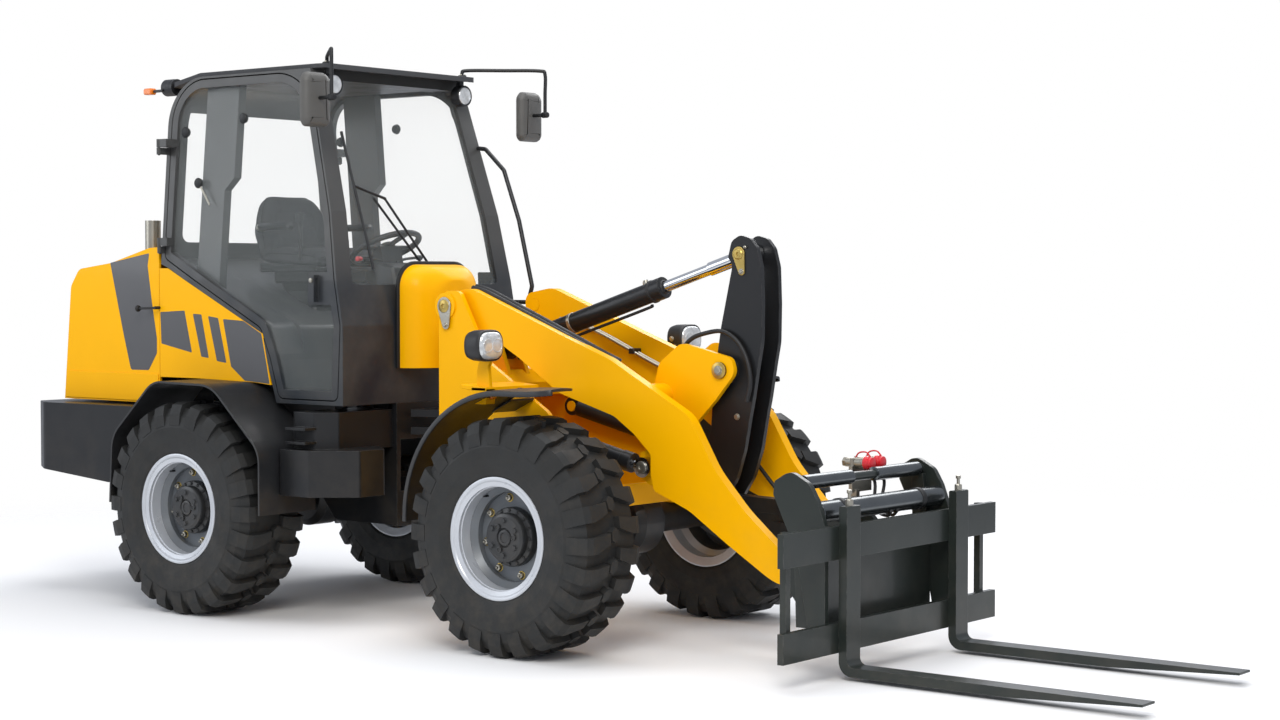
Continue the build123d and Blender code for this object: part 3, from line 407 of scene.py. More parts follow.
def rounded(points, radius, steps=5):
    # An outline with its corners rounded; radius may be one number or one for each corner
    radii = radius if isinstance(radius, (list, tuple)) else [radius] * len(points)
    out = []
    n = len(points)
    for i in range(n):
        a, b, c = Vector(points[i - 1]), Vector(points[i]), Vector(points[(i + 1) % n])
        r = radii[i]
        u, v = (a - b), (c - b)
        if r <= 0 or u.length < 1e-6 or v.length < 1e-6:
            out.append(tuple(b))
            continue
        angle = u.angle(v)
        if angle > math.pi - 0.02:
            out.append(tuple(b))
            continue
        cut = min(r / math.tan(angle / 2), u.length * 0.48, v.length * 0.48)
        p, q = b + u.normalized() * cut, b + v.normalized() * cut
        for k in range(steps + 1):
            t = k / steps
            out.append(tuple(p * (1 - t) ** 2 + b * 2 * t * (1 - t) + q * t * t))
    return out


def smooth_line(pts, samples, closed):
    if len(pts) == 2 and not closed:
        return [pts[0].lerp(pts[1], i / 2) for i in range(3)]
    line = []
    n = len(pts)
    for i in range(n if closed else n - 1):
        p0 = pts[i - 1] if closed or i > 0 else pts[0] * 2 - pts[1]
        p1, p2 = pts[i], pts[(i + 1) % n]
        p3 = pts[(i + 2) % n] if closed or i + 2 < n else pts[-1] * 2 - pts[-2]
        for k in range(samples):
            t = k / samples
            line.append(((p1 * 2) + (p2 - p0) * t + (p0 * 2 - p1 * 5 + p2 * 4 - p3) * t * t
                         + (p1 * 3 - p0 - p2 * 3 + p3) * t ** 3) * 0.5)
    if not closed:
        line.append(pts[-1])
    return line


# Carried-over CAD nodes get their looks by slot
for node in nodes.values():
    for mat_slot in node.material_slots:
        base = mat_slot.material.name.split(".")[0]
        look = SLOT_LOOK.get(base)
        if look:
            mat_slot.material = MAT[look]

# Wheels: each CAD rim is replaced by one with the same profile and its finishes; the mid grey of the disc and the deep
# barrel step is partly painted shade in these recesses
AXLE_X, HALF_TRACK, AXLE_Z = 1019.0, 732.0, 510.0
NUT_CIRCLE, RING_CIRCLE, HUB_CIRCLE, PLUG_CIRCLE, VALVE_CIRCLE = 168, 116, 74, 56, 209
DISC_FACE, RING_FACE, HUB_FACE = 48, 88, 127
RIM_BANDS = [
    ("hub", [(0, 118), (38, 118), (42, 125), (90, 128), (103, 122), (106, 114), (106, 92), (124, 88), (127, 82)]),
    # The disc bands wear the mid grey that is partly painted shade on the recessed disc and barrel step
    ("disc", [(127, 50), (152, 48), (193, 48), (193, 74)]),
    ("silver", [(219, 98), (219, 150), (223, 153), (223, 166), (243, 171), (248, 176), (257, 178), (263, 176), (263, 172),
                (229, 166), (229, 94), (203, 68), (203, -68), (229, -94), (229, -166), (263, -172), (263, -178),
                (257, -178), (219, -166), (219, -98)]),
    ("disc", [(193, -74), (193, 32)]),
    ("hub", [(140, 32), (140, -38), (41, -38), (41, 10), (0, 10)]),
]
RIM = [(spot, look) for look, spots in RIM_BANDS for spot in spots]


def ring_points(centre, side, radius, reach, count, start=0.0):
    return [(centre[0] + radius * math.cos(start + 2 * math.pi * i / count), centre[1] + side * reach,
             centre[2] + radius * math.sin(start + 2 * math.pi * i / count)) for i in range(count)]


def wheel(end, side):
    label = ("front" if end > 0 else "rear") + ("_left" if side > 0 else "_right")
    centre = (end * AXLE_X, side * HALF_TRACK, AXLE_Z)
    out = (0, side, 0)
    kit = Kit("rim_" + label + "_dressed", "wheel_" + label, "rim_paint", "silver", "disc", "hub", "steel", "zinc", "trim")
    kit.lathe([spot for spot, look in RIM], centre, out, 72, looks=[look for spot, look in RIM])
    for point in ring_points(centre, side, NUT_CIRCLE, DISC_FACE, 8, 0.2):
        kit.lathe([(19, 0), (19, 2.5), (15, 3), (15, 3)], point, out, 20, "zinc")
        kit.lathe([(14, 2), (14, 15), (11, 17), (6, 17)], point, out, 6, "steel")
        kit.lathe([(6, 15), (6, 23), (4.5, 25), (0, 25)], point, out, 12, "steel")
    kit.hexes(ring_points(centre, side, RING_CIRCLE, RING_FACE, 16), out, 13, 8, "hub")
    kit.hexes(ring_points(centre, side, HUB_CIRCLE, HUB_FACE, 6, 0.5), out, 20, 9, "hub")
    for point in ring_points(centre, side, PLUG_CIRCLE, HUB_FACE, 3, 0.1):
        kit.lathe([(13, 0), (13, 5), (9, 6), (8, 3), (0, 3)], point, out, 18, "hub")
    kit.lathe([(34, 118), (34, 124), (30, 126), (22, 126), (20, 122), (0, 122)], centre, out, 32, "hub")
    stem = ring_points(centre, side, VALVE_CIRCLE, RING_FACE, 1, 2.2)[0]
    kit.lathe([(5, 0), (5, 16), (4, 18), (4, 30), (0, 31)], stem, out, 12, "trim")
    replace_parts(kit.done(38), "rim_" + label)


for end in (1, -1):
    for side in (1, -1):
        wheel(end, side)

# Film stripes on the hood's sides and on the panels behind the doors, 0.6 mm proud
HOOD_SIDE, PANEL_SIDE, FILM = 600.0, 610.0, 0.6
BAND = [(-1890, 1688), (-1585, 1735), (-1598, 1672), (-1566, 1485), (-1531, 1310), (-1531, 1235), (-1594, 1148),
        (-1733, 1147), (-1794, 1344), (-1873, 1626)]
BAND_BENDS = [6, 6, 30, 60, 60, 30, 20, 20, 60, 10]
BLOCK = [(-1491, 1441), (-1309, 1450), (-1255, 1243), (-1484, 1284)]
SLATS = [[(-1247, 1435), (-1184, 1432), (-1131, 1219), (-1186, 1225)],
         [(-1135, 1425), (-1062, 1416), (-1003, 1198), (-1072, 1206)]]
SKIRT = [(-2258, 992), (-1518, 992), (-1518, 1131), (-2244, 1131)]
WEDGE = [(-1026, 1411), (-880, 1404), (-753, 1344), (-719, 1204), (-697, 1104), (-800, 1111.5), (-872, 1115), (-970, 1182)]


def film(name, body, face, outlines):
    kit = Kit(name, body, "cab_paint", "stripe")
    for outline, bend in outlines:
        kit.prism(rounded(outline, bend), face + 0.02, face + FILM, "xz", 0.15, both=True)
    kit.done()


film("hood_band", "hood", HOOD_SIDE, [(BAND, BAND_BENDS)])
kit = Kit("hood_skirt", "hood", "yellow_paint", "yellow")
kit.prism(rounded(SKIRT, 8), HOOD_SIDE - 0.5, HOOD_SIDE + 5, "xz", 4, both=True)
kit.done()
film("panel_stripes", "rear_frame", PANEL_SIDE, [(BLOCK, 6), (SLATS[0], 6), (SLATS[1], 6), (WEDGE, 5)])

# Pins, their keeper plates and bolts. Pivots are given as X and Z.
BOOM_PIVOT, KEEPER_TAIL, FORK_PIVOT, LIFT_HEAD = (220, 1482), (230, 1396), (2170, 390), (1330, 790)
CRANK_TOP, CRANK_PIVOT, CRANK_FOOT = (1680, 1715), (1620, 1213), (1500, 640)
CRANK_BOLT, CRANK_NIPPLE = (1672, 1012), (1716, 1745)
TILT_BASE, TILT_ROD_SHOWS, TILT_RADIUS, TILT_ROD_RADIUS = (260, 1270), 488.0, 46, 25
TOWER_SIDE, CRANK_SIDE, EAR_SIDE, ARM_SIDE, LIFT_PIN_END = 360.0, 75.0, 140.0, 315.0, 311.3


def off_middle(pivot, y):
    return (pivot[0], y, pivot[1])


def keeper(kit, head, tail, y, big, small, look="zinc"):
    # A teardrop plate that holds a pin's head, bolted at its tail
    (hx, hz), (tx, tz) = head, tail
    lean = math.atan2(tz - hz, tx - hx)
    rim = [(hx + big * math.cos(lean + a), hz + big * math.sin(lean + a)) for a in
           (math.radians(70 + 220 * i / 18) for i in range(19))]
    rim += [(tx + small * math.cos(lean + a), tz + small * math.sin(lean + a)) for a in
            (math.radians(-70 + 140 * i / 8) for i in range(9))]
    kit.prism(rim, y, y + 6, "xz", 1.2, look, both=True)
    kit.lathe([(big * 0.72, 0), (big * 0.72, 3), (big * 0.6, 6), (big * 0.26, 6.5), (big * 0.22, 1), (0, 1)],
              (hx, y + 5.5, hz), (0, 1, 0), 28, "zinc", both=True)
    kit.hexes([(tx, y + 6, tz)], (0, 1, 0), 17, 9, "steel", both=True)


kit = Kit("tower_keepers", "front_frame", "coupling_steel", "zinc", "steel")
keeper(kit, BOOM_PIVOT, KEEPER_TAIL, TOWER_SIDE + 8, 42, 21, "steel")
kit.lathe([(13, 0), (13, 9)], off_middle(KEEPER_TAIL, TOWER_SIDE), (0, 1, 0), 20, "zinc", both=True)
kit.hexes([(760, side * TOWER_SIDE, 860) for side in (1, -1)], (0, 1, 0), 22, 12, "steel")
kit.done()
kit = Kit("crank_keepers", "bellcrank", "coupling_steel", "zinc", "steel")
keeper(kit, CRANK_TOP, (1696, 1640), CRANK_SIDE, 32, 17)
keeper(kit, CRANK_FOOT, (1560, 690), CRANK_SIDE, 30, 15)
kit.lathe([(36, -0.5), (36, 3), (32, 5), (0, 5)], off_middle(CRANK_PIVOT, EAR_SIDE), (0, 1, 0), 36, "zinc", both=True)
kit.hexes([off_middle(CRANK_PIVOT, EAR_SIDE + 4.5)], (0, 1, 0), 30, 11, "steel", both=True)
kit.hexes([off_middle(CRANK_BOLT, CRANK_SIDE)], (0, 1, 0), 20, 10, "steel", both=True)
kit.lathe([(7, 0), (7, 8), (4, 10), (4, 14), (0, 15)], off_middle(CRANK_NIPPLE, CRANK_SIDE), (0, 1, 0), 14, "steel", both=True)
kit.done()
for side, label in ((1, "left"), (-1, "right")):
    kit = Kit("lift_pin_cap_" + label, "lift_rod_" + label, "coupling_steel", "steel")
    kit.lathe([(27, 0), (27, 4), (24, 6), (9, 6.5), (8, 4), (0, 4)], off_middle(LIFT_HEAD, side * LIFT_PIN_END),
              (0, side, 0), 32, "steel")
    kit.done()
kit = Kit("fork_pivot_caps", "boom", "coupling_steel", "steel")
kit.lathe([(44, 0), (44, 4), (40, 6), (30, 6.5)], off_middle(FORK_PIVOT, ARM_SIDE), (0, 1, 0), 40, "steel", both=True)
kit.done()

# Hydraulic hose that climbs over the crank's ears, the pipes and hoses inside both arms, and the bundle along the right one
CREST = [(1300, 1160), (1320, 1190), (1371, 1276), (1432, 1343), (1516, 1372), (1604, 1381), (1672, 1349), (1716, 1298),
         (1745, 1230), (1752, 1155), (1735, 1080)]
CREST_Y, PIPE_Y, PIPE_STEP = -91, 246, 26
kit = Kit("boom_lines", "boom", "lamp_housing", "hose", "steel")
kit.tube([off_middle(spot, CREST_Y) for spot in CREST], 10, "hose", sides=12)
for y in (PIPE_Y, PIPE_Y - PIPE_STEP):
    kit.tube([(420, y, 1420), (640, y, 1362), (1000, y, 1212), (1290, y, 1110)], 8, "steel", both=True)
for x, z in ((560, 1384), (860, 1272), (1150, 1158)):
    kit.box(x - 16, x + 16, 208, 266, z - 13, z + 13, 3, "hose", both=True)
kit.tube([(1290, PIPE_Y, 1110), (1345, 240, 1078), (1400, 236, 1000), (1500, 236, 850), (1700, 236, 640), (1900, 236, 480)],
         9, "hose", both=True)
for y, rise in ((-262, 0), (-238, 6), (-214, -3)):
    kit.tube([(300, y, 1566 + rise), (400, y, 1541 + rise), (600, y, 1462 + rise), (790, y, 1386 + rise),
              (1010, y, 1296 + rise), (1090, y + 60, 1240)], 12, "hose")
kit.done()


# Cylinder fittings: glands, ports and the pipe beneath the tilt barrel
def along(base, head, distance, rise):
    dx, dz = head[0] - base[0], head[1] - base[1]
    n = math.hypot(dx, dz)
    return (base[0] + dx / n * distance - dz / n * rise, base[1] + dz / n * distance + dx / n * rise)


def cylinder_trim(name, body, base, head, y, radius, length, rod_radius, pipe_rise):
    kit = Kit(name, body, "chrome_rod", "hose", "steel", "trim")
    axis = Vector((head[0] - base[0], 0, head[1] - base[1])).normalized()

    def at(distance, rise=0.0):
        x, z = along(base, head, distance, rise)
        return (x, y, z)

    kit.lathe([(radius + 0.5, 0), (radius + 7, 2), (radius + 7, 12), (radius + 4.5, 14), (radius + 4.5, 20),
               (radius + 0.5, 22)], at(length - 70), axis, 36, "hose")
    kit.lathe([(radius + 3, 0), (radius + 3, 3), (rod_radius + 9, 5), (rod_radius + 5, 12), (rod_radius + 1.2, 13),
               (rod_radius + 1.2, 0)], at(length), axis, 36, "trim")
    for spot in (78, length - 92):
        kit.lathe([(15, radius - 5), (15, radius + 9), (12, radius + 11), (12, radius + 16), (0, radius + 17)],
                  at(spot), axis.cross(Vector((0, 1, 0))) * (1 if pipe_rise < 0 else -1), 20, "steel")
    kit.tube([at(84, pipe_rise * 0.9), at(110, pipe_rise), at(length * 0.5, pipe_rise), at(length - 120, pipe_rise),
              at(length - 94, pipe_rise * 0.9)], 7, "hose", sides=10)
    kit.lathe([(radius + 0.6, -9), (radius + 2.4, -8), (radius + 2.4, 8), (radius + 0.6, 9)], at(length * 0.45), axis,
              36, "steel")
    kit.done()


tilt_length = math.hypot(CRANK_TOP[0] - TILT_BASE[0], CRANK_TOP[1] - TILT_BASE[1]) - TILT_ROD_SHOWS
cylinder_trim("tilt_cylinder_trim", "tilt_barrel", TILT_BASE, CRANK_TOP, 0, TILT_RADIUS, tilt_length, TILT_ROD_RADIUS, -62)


def headlamps():
    # Rounded housings on yellow brackets, each with a clear lens over two reflectors
    kit = Kit("headlamps_dressed", "front_frame", "lamp_housing", "plastic", "lens", "yellow", "amber", "steel")
    middle, half_w, half_h, corner = (720.0, 1319.0), 84.0, 69.0, 66.0
    shell = ((722, 0.5), (724, 0.72), (734, 0.88), (756, 0.97), (806, 1.0), (820, 0.99), (824, 0.95), (822, 0.86))
    lens = ((822, 0.87), (830, 0.83), (834, 0.74), (836, 0.5))
    post = [(706, 1120), (786, 1120), (775, 1225), (790, 1256), (722, 1256), (706, 1205)]

    def outline(x, scale):
        w, h = half_w * scale, half_h * scale
        flat = rounded([(-w, -h), (w, -h), (w, h), (-w, h)], corner * scale, 8)
        return [(x, middle[0] + a, middle[1] + b) for a, b in flat]

    kit.loft([outline(x, scale) for x, scale in shell], "plastic", both=True, far_cap=False)
    kit.loft([outline(x, scale) for x, scale in lens], "lens", both=True, near_cap=False)
    for dy in (-30, 30):
        kit.lathe([(31, 0), (31, 2.6), (28, 3.4), (26, 1.0), (0, 0.8)], (834, middle[0] + dy, middle[1]), (1, 0, 0), 32,
                  "lens", both=True)
    kit.hexes([(768, middle[0] - half_w + 1, middle[1])], (0, -1, 0), 18, 8, "steel", both=True)
    kit.prism(rounded(post, 7), 664, 684, "xz", 3, "yellow", both=True)
    kit.prism(rounded([(700, 1062), (786, 1062), (786, 1136), (700, 1136)], 8), 650, 712, "xz", 3, "yellow", both=True)
    kit.prism([(640, 1130), (700, 1120), (786, 1120), (786, 1136), (640, 1146)], 361, 712, "xz", 2, "yellow", both=True)
    kit.box(786, 800, 655, 690, 1085, 1110, 3, "amber", both=True)
    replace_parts(kit.done(40), "headlamps")


headlamps()

# Work lamps under the roof's corners, and the rear pair's amber stalk lamps
FRONT_LAMP, REAR_LAMP = (-405, 452, 2528), (-1640.3, 430, 2573)
kit = Kit("roof_lamp_lenses", "rear_frame", "lamp_housing", "lens", "plastic", "amber")
kit.lathe([(52.5, -44), (52.5, -1), (50, 1.5), (45, 1.5)], FRONT_LAMP, (1, 0, 0), 40, "plastic", both=True)
kit.lathe([(45, -2), (40, 3), (20, 5.5), (0, 6)], FRONT_LAMP, (1, 0, 0), 40, "lens", both=True)
kit.lathe([(42.6, -60), (42.6, -1), (40, 1.5), (36, 1.5)], REAR_LAMP, (-1, 0, 0), 36, "plastic", both=True)
kit.lathe([(36, -2), (30, 3), (15, 5), (0, 5.5)], REAR_LAMP, (-1, 0, 0), 36, "lens", both=True)
kit.box(-1700, -1622, 470, 480, 2549, 2563, 2, "plastic", both=True)
kit.box(-1752, -1690, 455, 495, 2540, 2572, 6, "amber", both=True)
kit.done()

# Tail lamps low on the hood's back
kit = Kit("tail_lamps", "hood", "lamp_housing", "plastic", "tail", "amber", "lens")
kit.box(-2262, -2268, 470, 580, 1010, 1052, 2, "plastic", both=True)
for low, high, look in ((476, 512, "tail"), (514, 540, "amber"), (542, 574, "lens")):
    kit.box(-2266, -2274, low, high, 1015, 1047, 3, look, both=True)
kit.done()

# Mirrors: bent arms with rounded heads, glass to the rear
MIRROR_ARM = [(-440, 470, 2626), (-440, 470, 2645), (-422, 486, 2658), (-280, 610.5, 2659), (-146, 727, 2658),
              (-125, 746, 2640), (-125, 746, 2540), (-125, 746, 2431)]
MIRROR_STEM = (-125, 746, 2436)
MIRROR_HEAD = [(662, 2325), (684, 2305), (812, 2305), (830, 2335), (830, 2520), (806, 2555), (690, 2555), (662, 2525)]


def mirrors():
    kit = Kit("mirrors_dressed", "rear_frame", "fender_plastic", "trim", "mirror_shell", "mirror")
    kit.tube(MIRROR_ARM, 9, "trim", both=True, sides=12)
    kit.lathe([(22, 0), (22, 6), (19, 9), (0, 9)], (-440, 470, 2625), (0, 0, 1), 28, "trim", both=True)
    kit.rod((-118, 746, 2436), (-210, 746, 2436), 9, look="trim", both=True)
    kit.lathe([(13, -18), (15, -14), (15, 14), (13, 18), (0, 19)], MIRROR_STEM, (1, 0, 0), 20, "trim", both=True)
    line = rounded(MIRROR_HEAD, 34, 5)
    rings = [[(x, y, z) for y, z in (inset(line, shrink) if shrink else line)]
             for x, shrink in ((-248, 4), (-246, 0), (-232, 0), (-216, 7), (-207, 20), (-203, 40))]
    kit.loft(rings, "mirror_shell", both=True)
    kit.prism(inset(line, 11), -250.2, -247.6, "yz", 1, "mirror", both=True)
    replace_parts(kit.done(45), "mirrors")


mirrors()
kit = Kit("mirror_clamps", "rear_frame", "fender_plastic", "trim", "steel")
kit.box(-142, -108, 732, 760, 2424, 2448, 4, "trim", both=True)
for side in (1, -1):
    kit.hexes([(-440 + 14 * math.cos(a), side * 470 + 14 * math.sin(a), 2634) for a in (0.8, 2.9, 5.0)],
              (0, 0, 1), 9, 5, "steel")
kit.done()

# The domed cover over the articulation, with the dark arch behind it
COVER_BACK, COVER_DEPTH, COVER_HALF, COVER_TOP, COVER_FOOT = -198.0, 152.0, 248.0, 1676.0, 1182.0
COVER_NOSE, COVER_DROP = 20, 74


def arch_section(half, top, foot, bend, steps=9):
    # Half of an arch from its foot on the left, over the top, to its foot on the right
    side = [(half, foot), (half, foot + (top - foot) * 0.35)]
    corner = [(half - bend + bend * math.cos(math.pi / 2 * i / steps), top - bend + bend * math.sin(math.pi / 2 * i / steps))
              for i in range(steps + 1)]
    left = side + corner
    return left + [(-y, z) for y, z in reversed(left)]


def front_cover():
    kit = Kit("front_cover_dome", "rear_frame", "yellow_paint", "yellow", "trim")
    rings = []
    for k in range(15):
        t = math.sin(math.pi / 2 * k / 14)
        shrink = math.sqrt(max(0.0, 1 - t * t))
        half = COVER_NOSE + (COVER_HALF - COVER_NOSE) * shrink ** 0.8
        top = COVER_TOP - COVER_DROP * t ** 3
        x = COVER_BACK + COVER_DEPTH * t
        rings.append([(x, y, z) for y, z in arch_section(half, top, COVER_FOOT, min(110, half * 0.7))])
    kit.loft(rings, "yellow", near_cap=False)
    outer = arch_section(COVER_HALF + 14, COVER_TOP + 16, COVER_FOOT, 128)
    inner = arch_section(COVER_HALF - 4, COVER_TOP - 2, COVER_FOOT, 112)
    back, front = COVER_BACK - 1.5, COVER_BACK + 14
    loops = [[(back, y, z) for y, z in outer], [(front - 3, y, z) for y, z in outer],
             [(front, y * 0.985, z - 3) for y, z in outer], [(front, y, z) for y, z in inner], [(back, y, z) for y, z in inner]]
    n, m = len(outer), len(loops)
    faces = [[k * n + i, k * n + i + 1, (k + 1) % m * n + i + 1, (k + 1) % m * n + i] for k in range(m) for i in range(n - 1)]
    kit.add([point for loop in loops for point in loop], faces, "trim")
    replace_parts(kit.done(50), "front_cover")


front_cover()

# Front mudguards: bent sheets whose front corner is cut away on the inside, with a rolled outer lip
GUARD_REAR, GUARD_FOOT, GUARD_TOP, GUARD_BEND, GUARD_CUT, GUARD_TIP = 412.0, 540.0, 1130.0, 567.0, 1100.0, 1262.0
GUARD_INNER, GUARD_OUTER, GUARD_TIP_INNER, GUARD_NARROWS = 500.0, 850.0, 700.0, 1255.0


def mudguards():
    kit = Kit("front_mudguards", "front_frame", "fender_plastic", "fender")
    line = [(GUARD_REAR, GUARD_FOOT)]
    centre = (GUARD_REAR + GUARD_BEND, GUARD_TOP - GUARD_BEND)
    turns = [math.pi / 2 * i / 20 for i in range(21)]
    line += [(centre[0] - GUARD_BEND * math.cos(a), centre[1] + GUARD_BEND * math.sin(a)) for a in turns]
    line += [(x, GUARD_TOP + rise) for x, rise in ((1070, 0), (1130, 1), (1180, 4), (1245, 10), (GUARD_TIP, 12))]
    sections = []
    for k, (x, z) in enumerate(line):
        ax, az = line[max(k - 1, 0)]
        bx, bz = line[min(k + 1, len(line) - 1)]
        d = Vector((bx - ax, 0, bz - az)).normalized()
        up = Vector((-d.z, 0, d.x))
        inner = GUARD_INNER + max(0.0, x - GUARD_CUT) * (GUARD_TIP_INNER - GUARD_INNER) / (GUARD_TIP - GUARD_CUT)
        outer = GUARD_OUTER - (14 if x > GUARD_NARROWS else 0)
        rim = [(inner, -5), (inner, 5), (inner + (outer - inner) * 0.5, 7), (outer - 26, 5), (outer - 12, 4), (outer - 3, 1),
               (outer, -6), (outer - 1, -20), (outer - 9, -22), (outer - 12, -8), (outer - 28, -5)]
        sections.append([(x + up.x * rise, y, z + up.z * rise) for y, rise in rim])
    kit.loft(sections, "fender", both=True)
    kit.prism(rounded([(640, 1010), (760, 1068), (760, 1078), (640, 1020)], 3), 360.3, 520, "xz", 2, "fender", both=True)
    kit.hexes([(x, side * 560, z) for x, z in ((700, 1066), (850, 1122)) for side in (1, -1)], (0, 0, 1), 18, 9, "fender")
    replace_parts(kit.done(40), "front_fenders")


mudguards()

# Operator's seat: two crowned pads with sewn channels on a black shell and bellows
SEAT_X, BACK_X, BACK_FOOT, BACK_LEAN = -980.0, -1228.0, 1692.0, 0.244


def pad(name, origin, across, up, normal, half_w, half_h, thick, channels, taper=0.0):
    # A closed cushion on a grid of nu by nv cells, with raised bolsters, sewn channels and piping; taper narrows its top
    origin, across, up, normal = (Vector(v) for v in (origin, across, up, normal))
    nu, nv, bolster = 40, 36, 0.25
    verts, faces = [], []

    def height(u, v):
        edge = ((1 - abs(u) ** 5) * (1 - abs(v) ** 5)) ** 0.42
        rise = edge * (1 + bolster * max(0.0, abs(u) - 0.55) / 0.45 * (1 - abs(v) ** 4))
        for place_u, place_v, deep in channels:
            if place_u is not None and abs(v) < 0.82:
                rise -= deep * math.exp(-((u - place_u) / 0.035) ** 2)
            if place_v is not None and abs(u) < 0.62:
                rise -= deep * math.exp(-((v - place_v) / 0.03) ** 2)
        return rise

    def spot(u, v, side):
        pinch_u, pinch_v = 1 - 0.035 * (1 - v * v), 1 - 0.035 * (1 - u * u)
        narrow = 1 - taper * max(0.0, v) ** 1.6
        corner = 1 - 0.07 * (abs(u) ** 6) * (abs(v) ** 6)
        flat = across * (u * half_w * pinch_u * narrow * corner) + up * (v * half_h * pinch_v * corner)
        lift = thick * (height(u, v) * (0.62 if side > 0 else -0.38))
        return tuple(origin + flat + normal * lift)

    for side in (1, -1):
        base = len(verts)
        for j in range(nv + 1):
            for i in range(nu + 1):
                u, v = (math.sin(math.pi / 2 * (2 * i / nu - 1)), math.sin(math.pi / 2 * (2 * j / nv - 1)))
                verts.append(spot(u, v, side))
        for j in range(nv):
            for i in range(nu):
                a = base + j * (nu + 1) + i
                face = [a, a + 1, a + nu + 2, a + nu + 1]
                faces.append(face if side > 0 else face[::-1])
    kit = Kit(name, "rear_frame", "seat_fabric", "fabric", "trim")
    kit.add(verts, faces, "fabric")
    bmesh.ops.remove_doubles(kit.bm, verts=kit.bm.verts, dist=0.0002)
    piping = []
    for k in range(64):
        a = 2 * math.pi * k / 64
        c, d = math.cos(a), math.sin(a)
        big = max(abs(c), abs(d))
        piping.append(spot(c / big * 0.985, d / big * 0.985, 1))
    kit.tube(piping, 4.5, "trim", sides=8, samples=2, closed=True)
    piece = kit.done(80)
    return piece


def operator_seat():
    shell = Kit("seat_shell", "rear_frame", "seat_fabric", "plastic", "trim", "steel")
    rings = []
    for k, z in enumerate((1280, 1305, 1345, 1385, 1425, 1465, 1505, 1545, 1585)):
        scale = 0.93 if k % 2 else 1.0
        a, b = 130 * scale, 165 * scale
        outline = rounded([(SEAT_X - a, -b), (SEAT_X + a, -b), (SEAT_X + a, b), (SEAT_X - a, b)], 40, 4)
        rings.append([(x, y, z) for x, y in outline])
    shell.loft(rings, "trim", near_cap=False, far_cap=False)
    shell.box(-1130, -840, -185, 185, 1585, 1648, 10, "plastic")
    shell.prism(rounded([(-1185, 1640), (-775, 1640), (-765, 1668), (-1185, 1690)], 12), -232, 232, "xz", 10, "plastic")
    back_line = rounded([(-170, BACK_FOOT), (170, BACK_FOOT), (196, 1840), (120, 2006), (-120, 2006), (-196, 1840)],
                        [30, 30, 90, 90, 90, 90])
    shell.loft([[(BACK_X + depth - (z - BACK_FOOT) * BACK_LEAN, y, z) for y, z in inset(back_line, shrink)]
                for depth, shrink in ((0, 10), (8, 0.1), (30, 0.1), (38, 8))], "plastic")
    shell.box(-1130, -900, 248, 300, 1850, 1885, 12, "plastic", both=True)
    shell.box(-1180, -1125, 225, 262, 1845, 1880, 10, "steel", both=True)
    shell.tube([(-860, -262, 1700), (-840, -268, 1790), (-850, -270, 1880)], 11, "trim")
    shell.lathe([(14, 0), (20, 12), (24, 34), (20, 54), (0, 62)], (-850, -270, 1875), (0.1, 0, 1), 24, "plastic")
    shell.done()
    cushion = pad("seat_cushion", (-968, 0, 1706), (0, 1, 0), (1, 0, -0.04), (0.04, 0, 1), 236, 208, 96,
                  [(None, -0.45, 0.1), (None, 0.0, 0.1), (None, 0.45, 0.1), (-0.62, None, 0.16), (0.62, None, 0.16)])
    back = pad("seat_back", (-1193, 0, 1858), (0, -1, 0), (-0.237, 0, 0.971), (0.971, 0, 0.237), 238, 168, 92,
               [(None, -0.5, 0.1), (None, 0.0, 0.1), (None, 0.42, 0.1), (-0.6, None, 0.16), (0.6, None, 0.16)], taper=0.36)
    for piece in (cushion, back):
        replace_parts(piece, "seat")


operator_seat()

# Dashboard, levers and column cover round the CAD steering wheel
kit = Kit("dash_details", "rear_frame", "console_plastic", "plastic", "lining", "red", "amber")
kit.prism(rounded([(-452, 1560), (-345, 1500), (-300, 1545), (-330, 1668), (-430, 1690)], 22), -150, 150, "xz", 12, "plastic")
kit.prism(rounded([(-440, 1592), (-434, 1598), (-424, 1672), (-436, 1678)], 4), -110, 110, "xz", 3, "lining")
for k, look in enumerate(("red", "amber", "lining", "lining", "amber", "lining")):
    kit.box(-446, -436, -92 + 32 * k, -70 + 32 * k, 1618, 1634, 2, look)
kit.lathe([(44, 0), (44, 8), (34, 16), (0, 20)], (-515, 0, 1762), (-0.42, 0, 0.91), 36, "plastic")
kit.tube([(-470, 20, 1690), (-500, 120, 1705), (-505, 205, 1712)], 7, "plastic")
kit.lathe([(9, 0), (13, 10), (13, 34), (0, 42)], (-505, 200, 1712), (0, 1, 0), 20, "plastic")
kit.tube([(-470, -20, 1690), (-498, -110, 1700), (-502, -190, 1704)], 6, "plastic")
kit.lathe([(9, 0), (12, 8), (12, 30), (0, 36)], (-502, -186, 1704), (0, -1, 0), 20, "red")
kit.done()

# Red dust caps on the hydraulic couplings, the carriage's cross tubes and the pins that lock the tines
COUPLING_Y, COUPLING_Z, TINE_Y = (122, 206), 826, (-385, 470)
HANGER, CROSS_TUBE, EAR_INNER = (2262, 785), (2346, 670), 467
HOSE_RUN = [(2205, 800), (2250, 745), (2262, 640), (2330, 612), (2384, 640)]
kit = Kit("coupling_caps", "fork_coupler", "coupling_steel", "red", "steel")
for y in COUPLING_Y:
    kit.lathe([(20, -6), (29, -5), (29, 16), (25, 20), (25, 30), (18, 33), (0, 34)], (2209, y, COUPLING_Z),
              (1, 0, 0), 28, "red")
    kit.lathe([(26, 0), (26, 8), (23, 10)], (2185, y, COUPLING_Z), (1, 0, 0), 28, "steel")
    kit.tube([(2226, y, 855), (2205, y, 872), (2170, y, 868), (2152, y, 846)], 3.5, "red", sides=8)
    kit.lathe([(21, 0), (21, 16), (15, 20), (0, 20)], (2112, y, COUPLING_Z), (-1, 0, 0), 6, "steel")
kit.done()
kit = Kit("carriage_cross_tube", "fork_coupler", "carriage_paint", "tube", "trim", "hose")
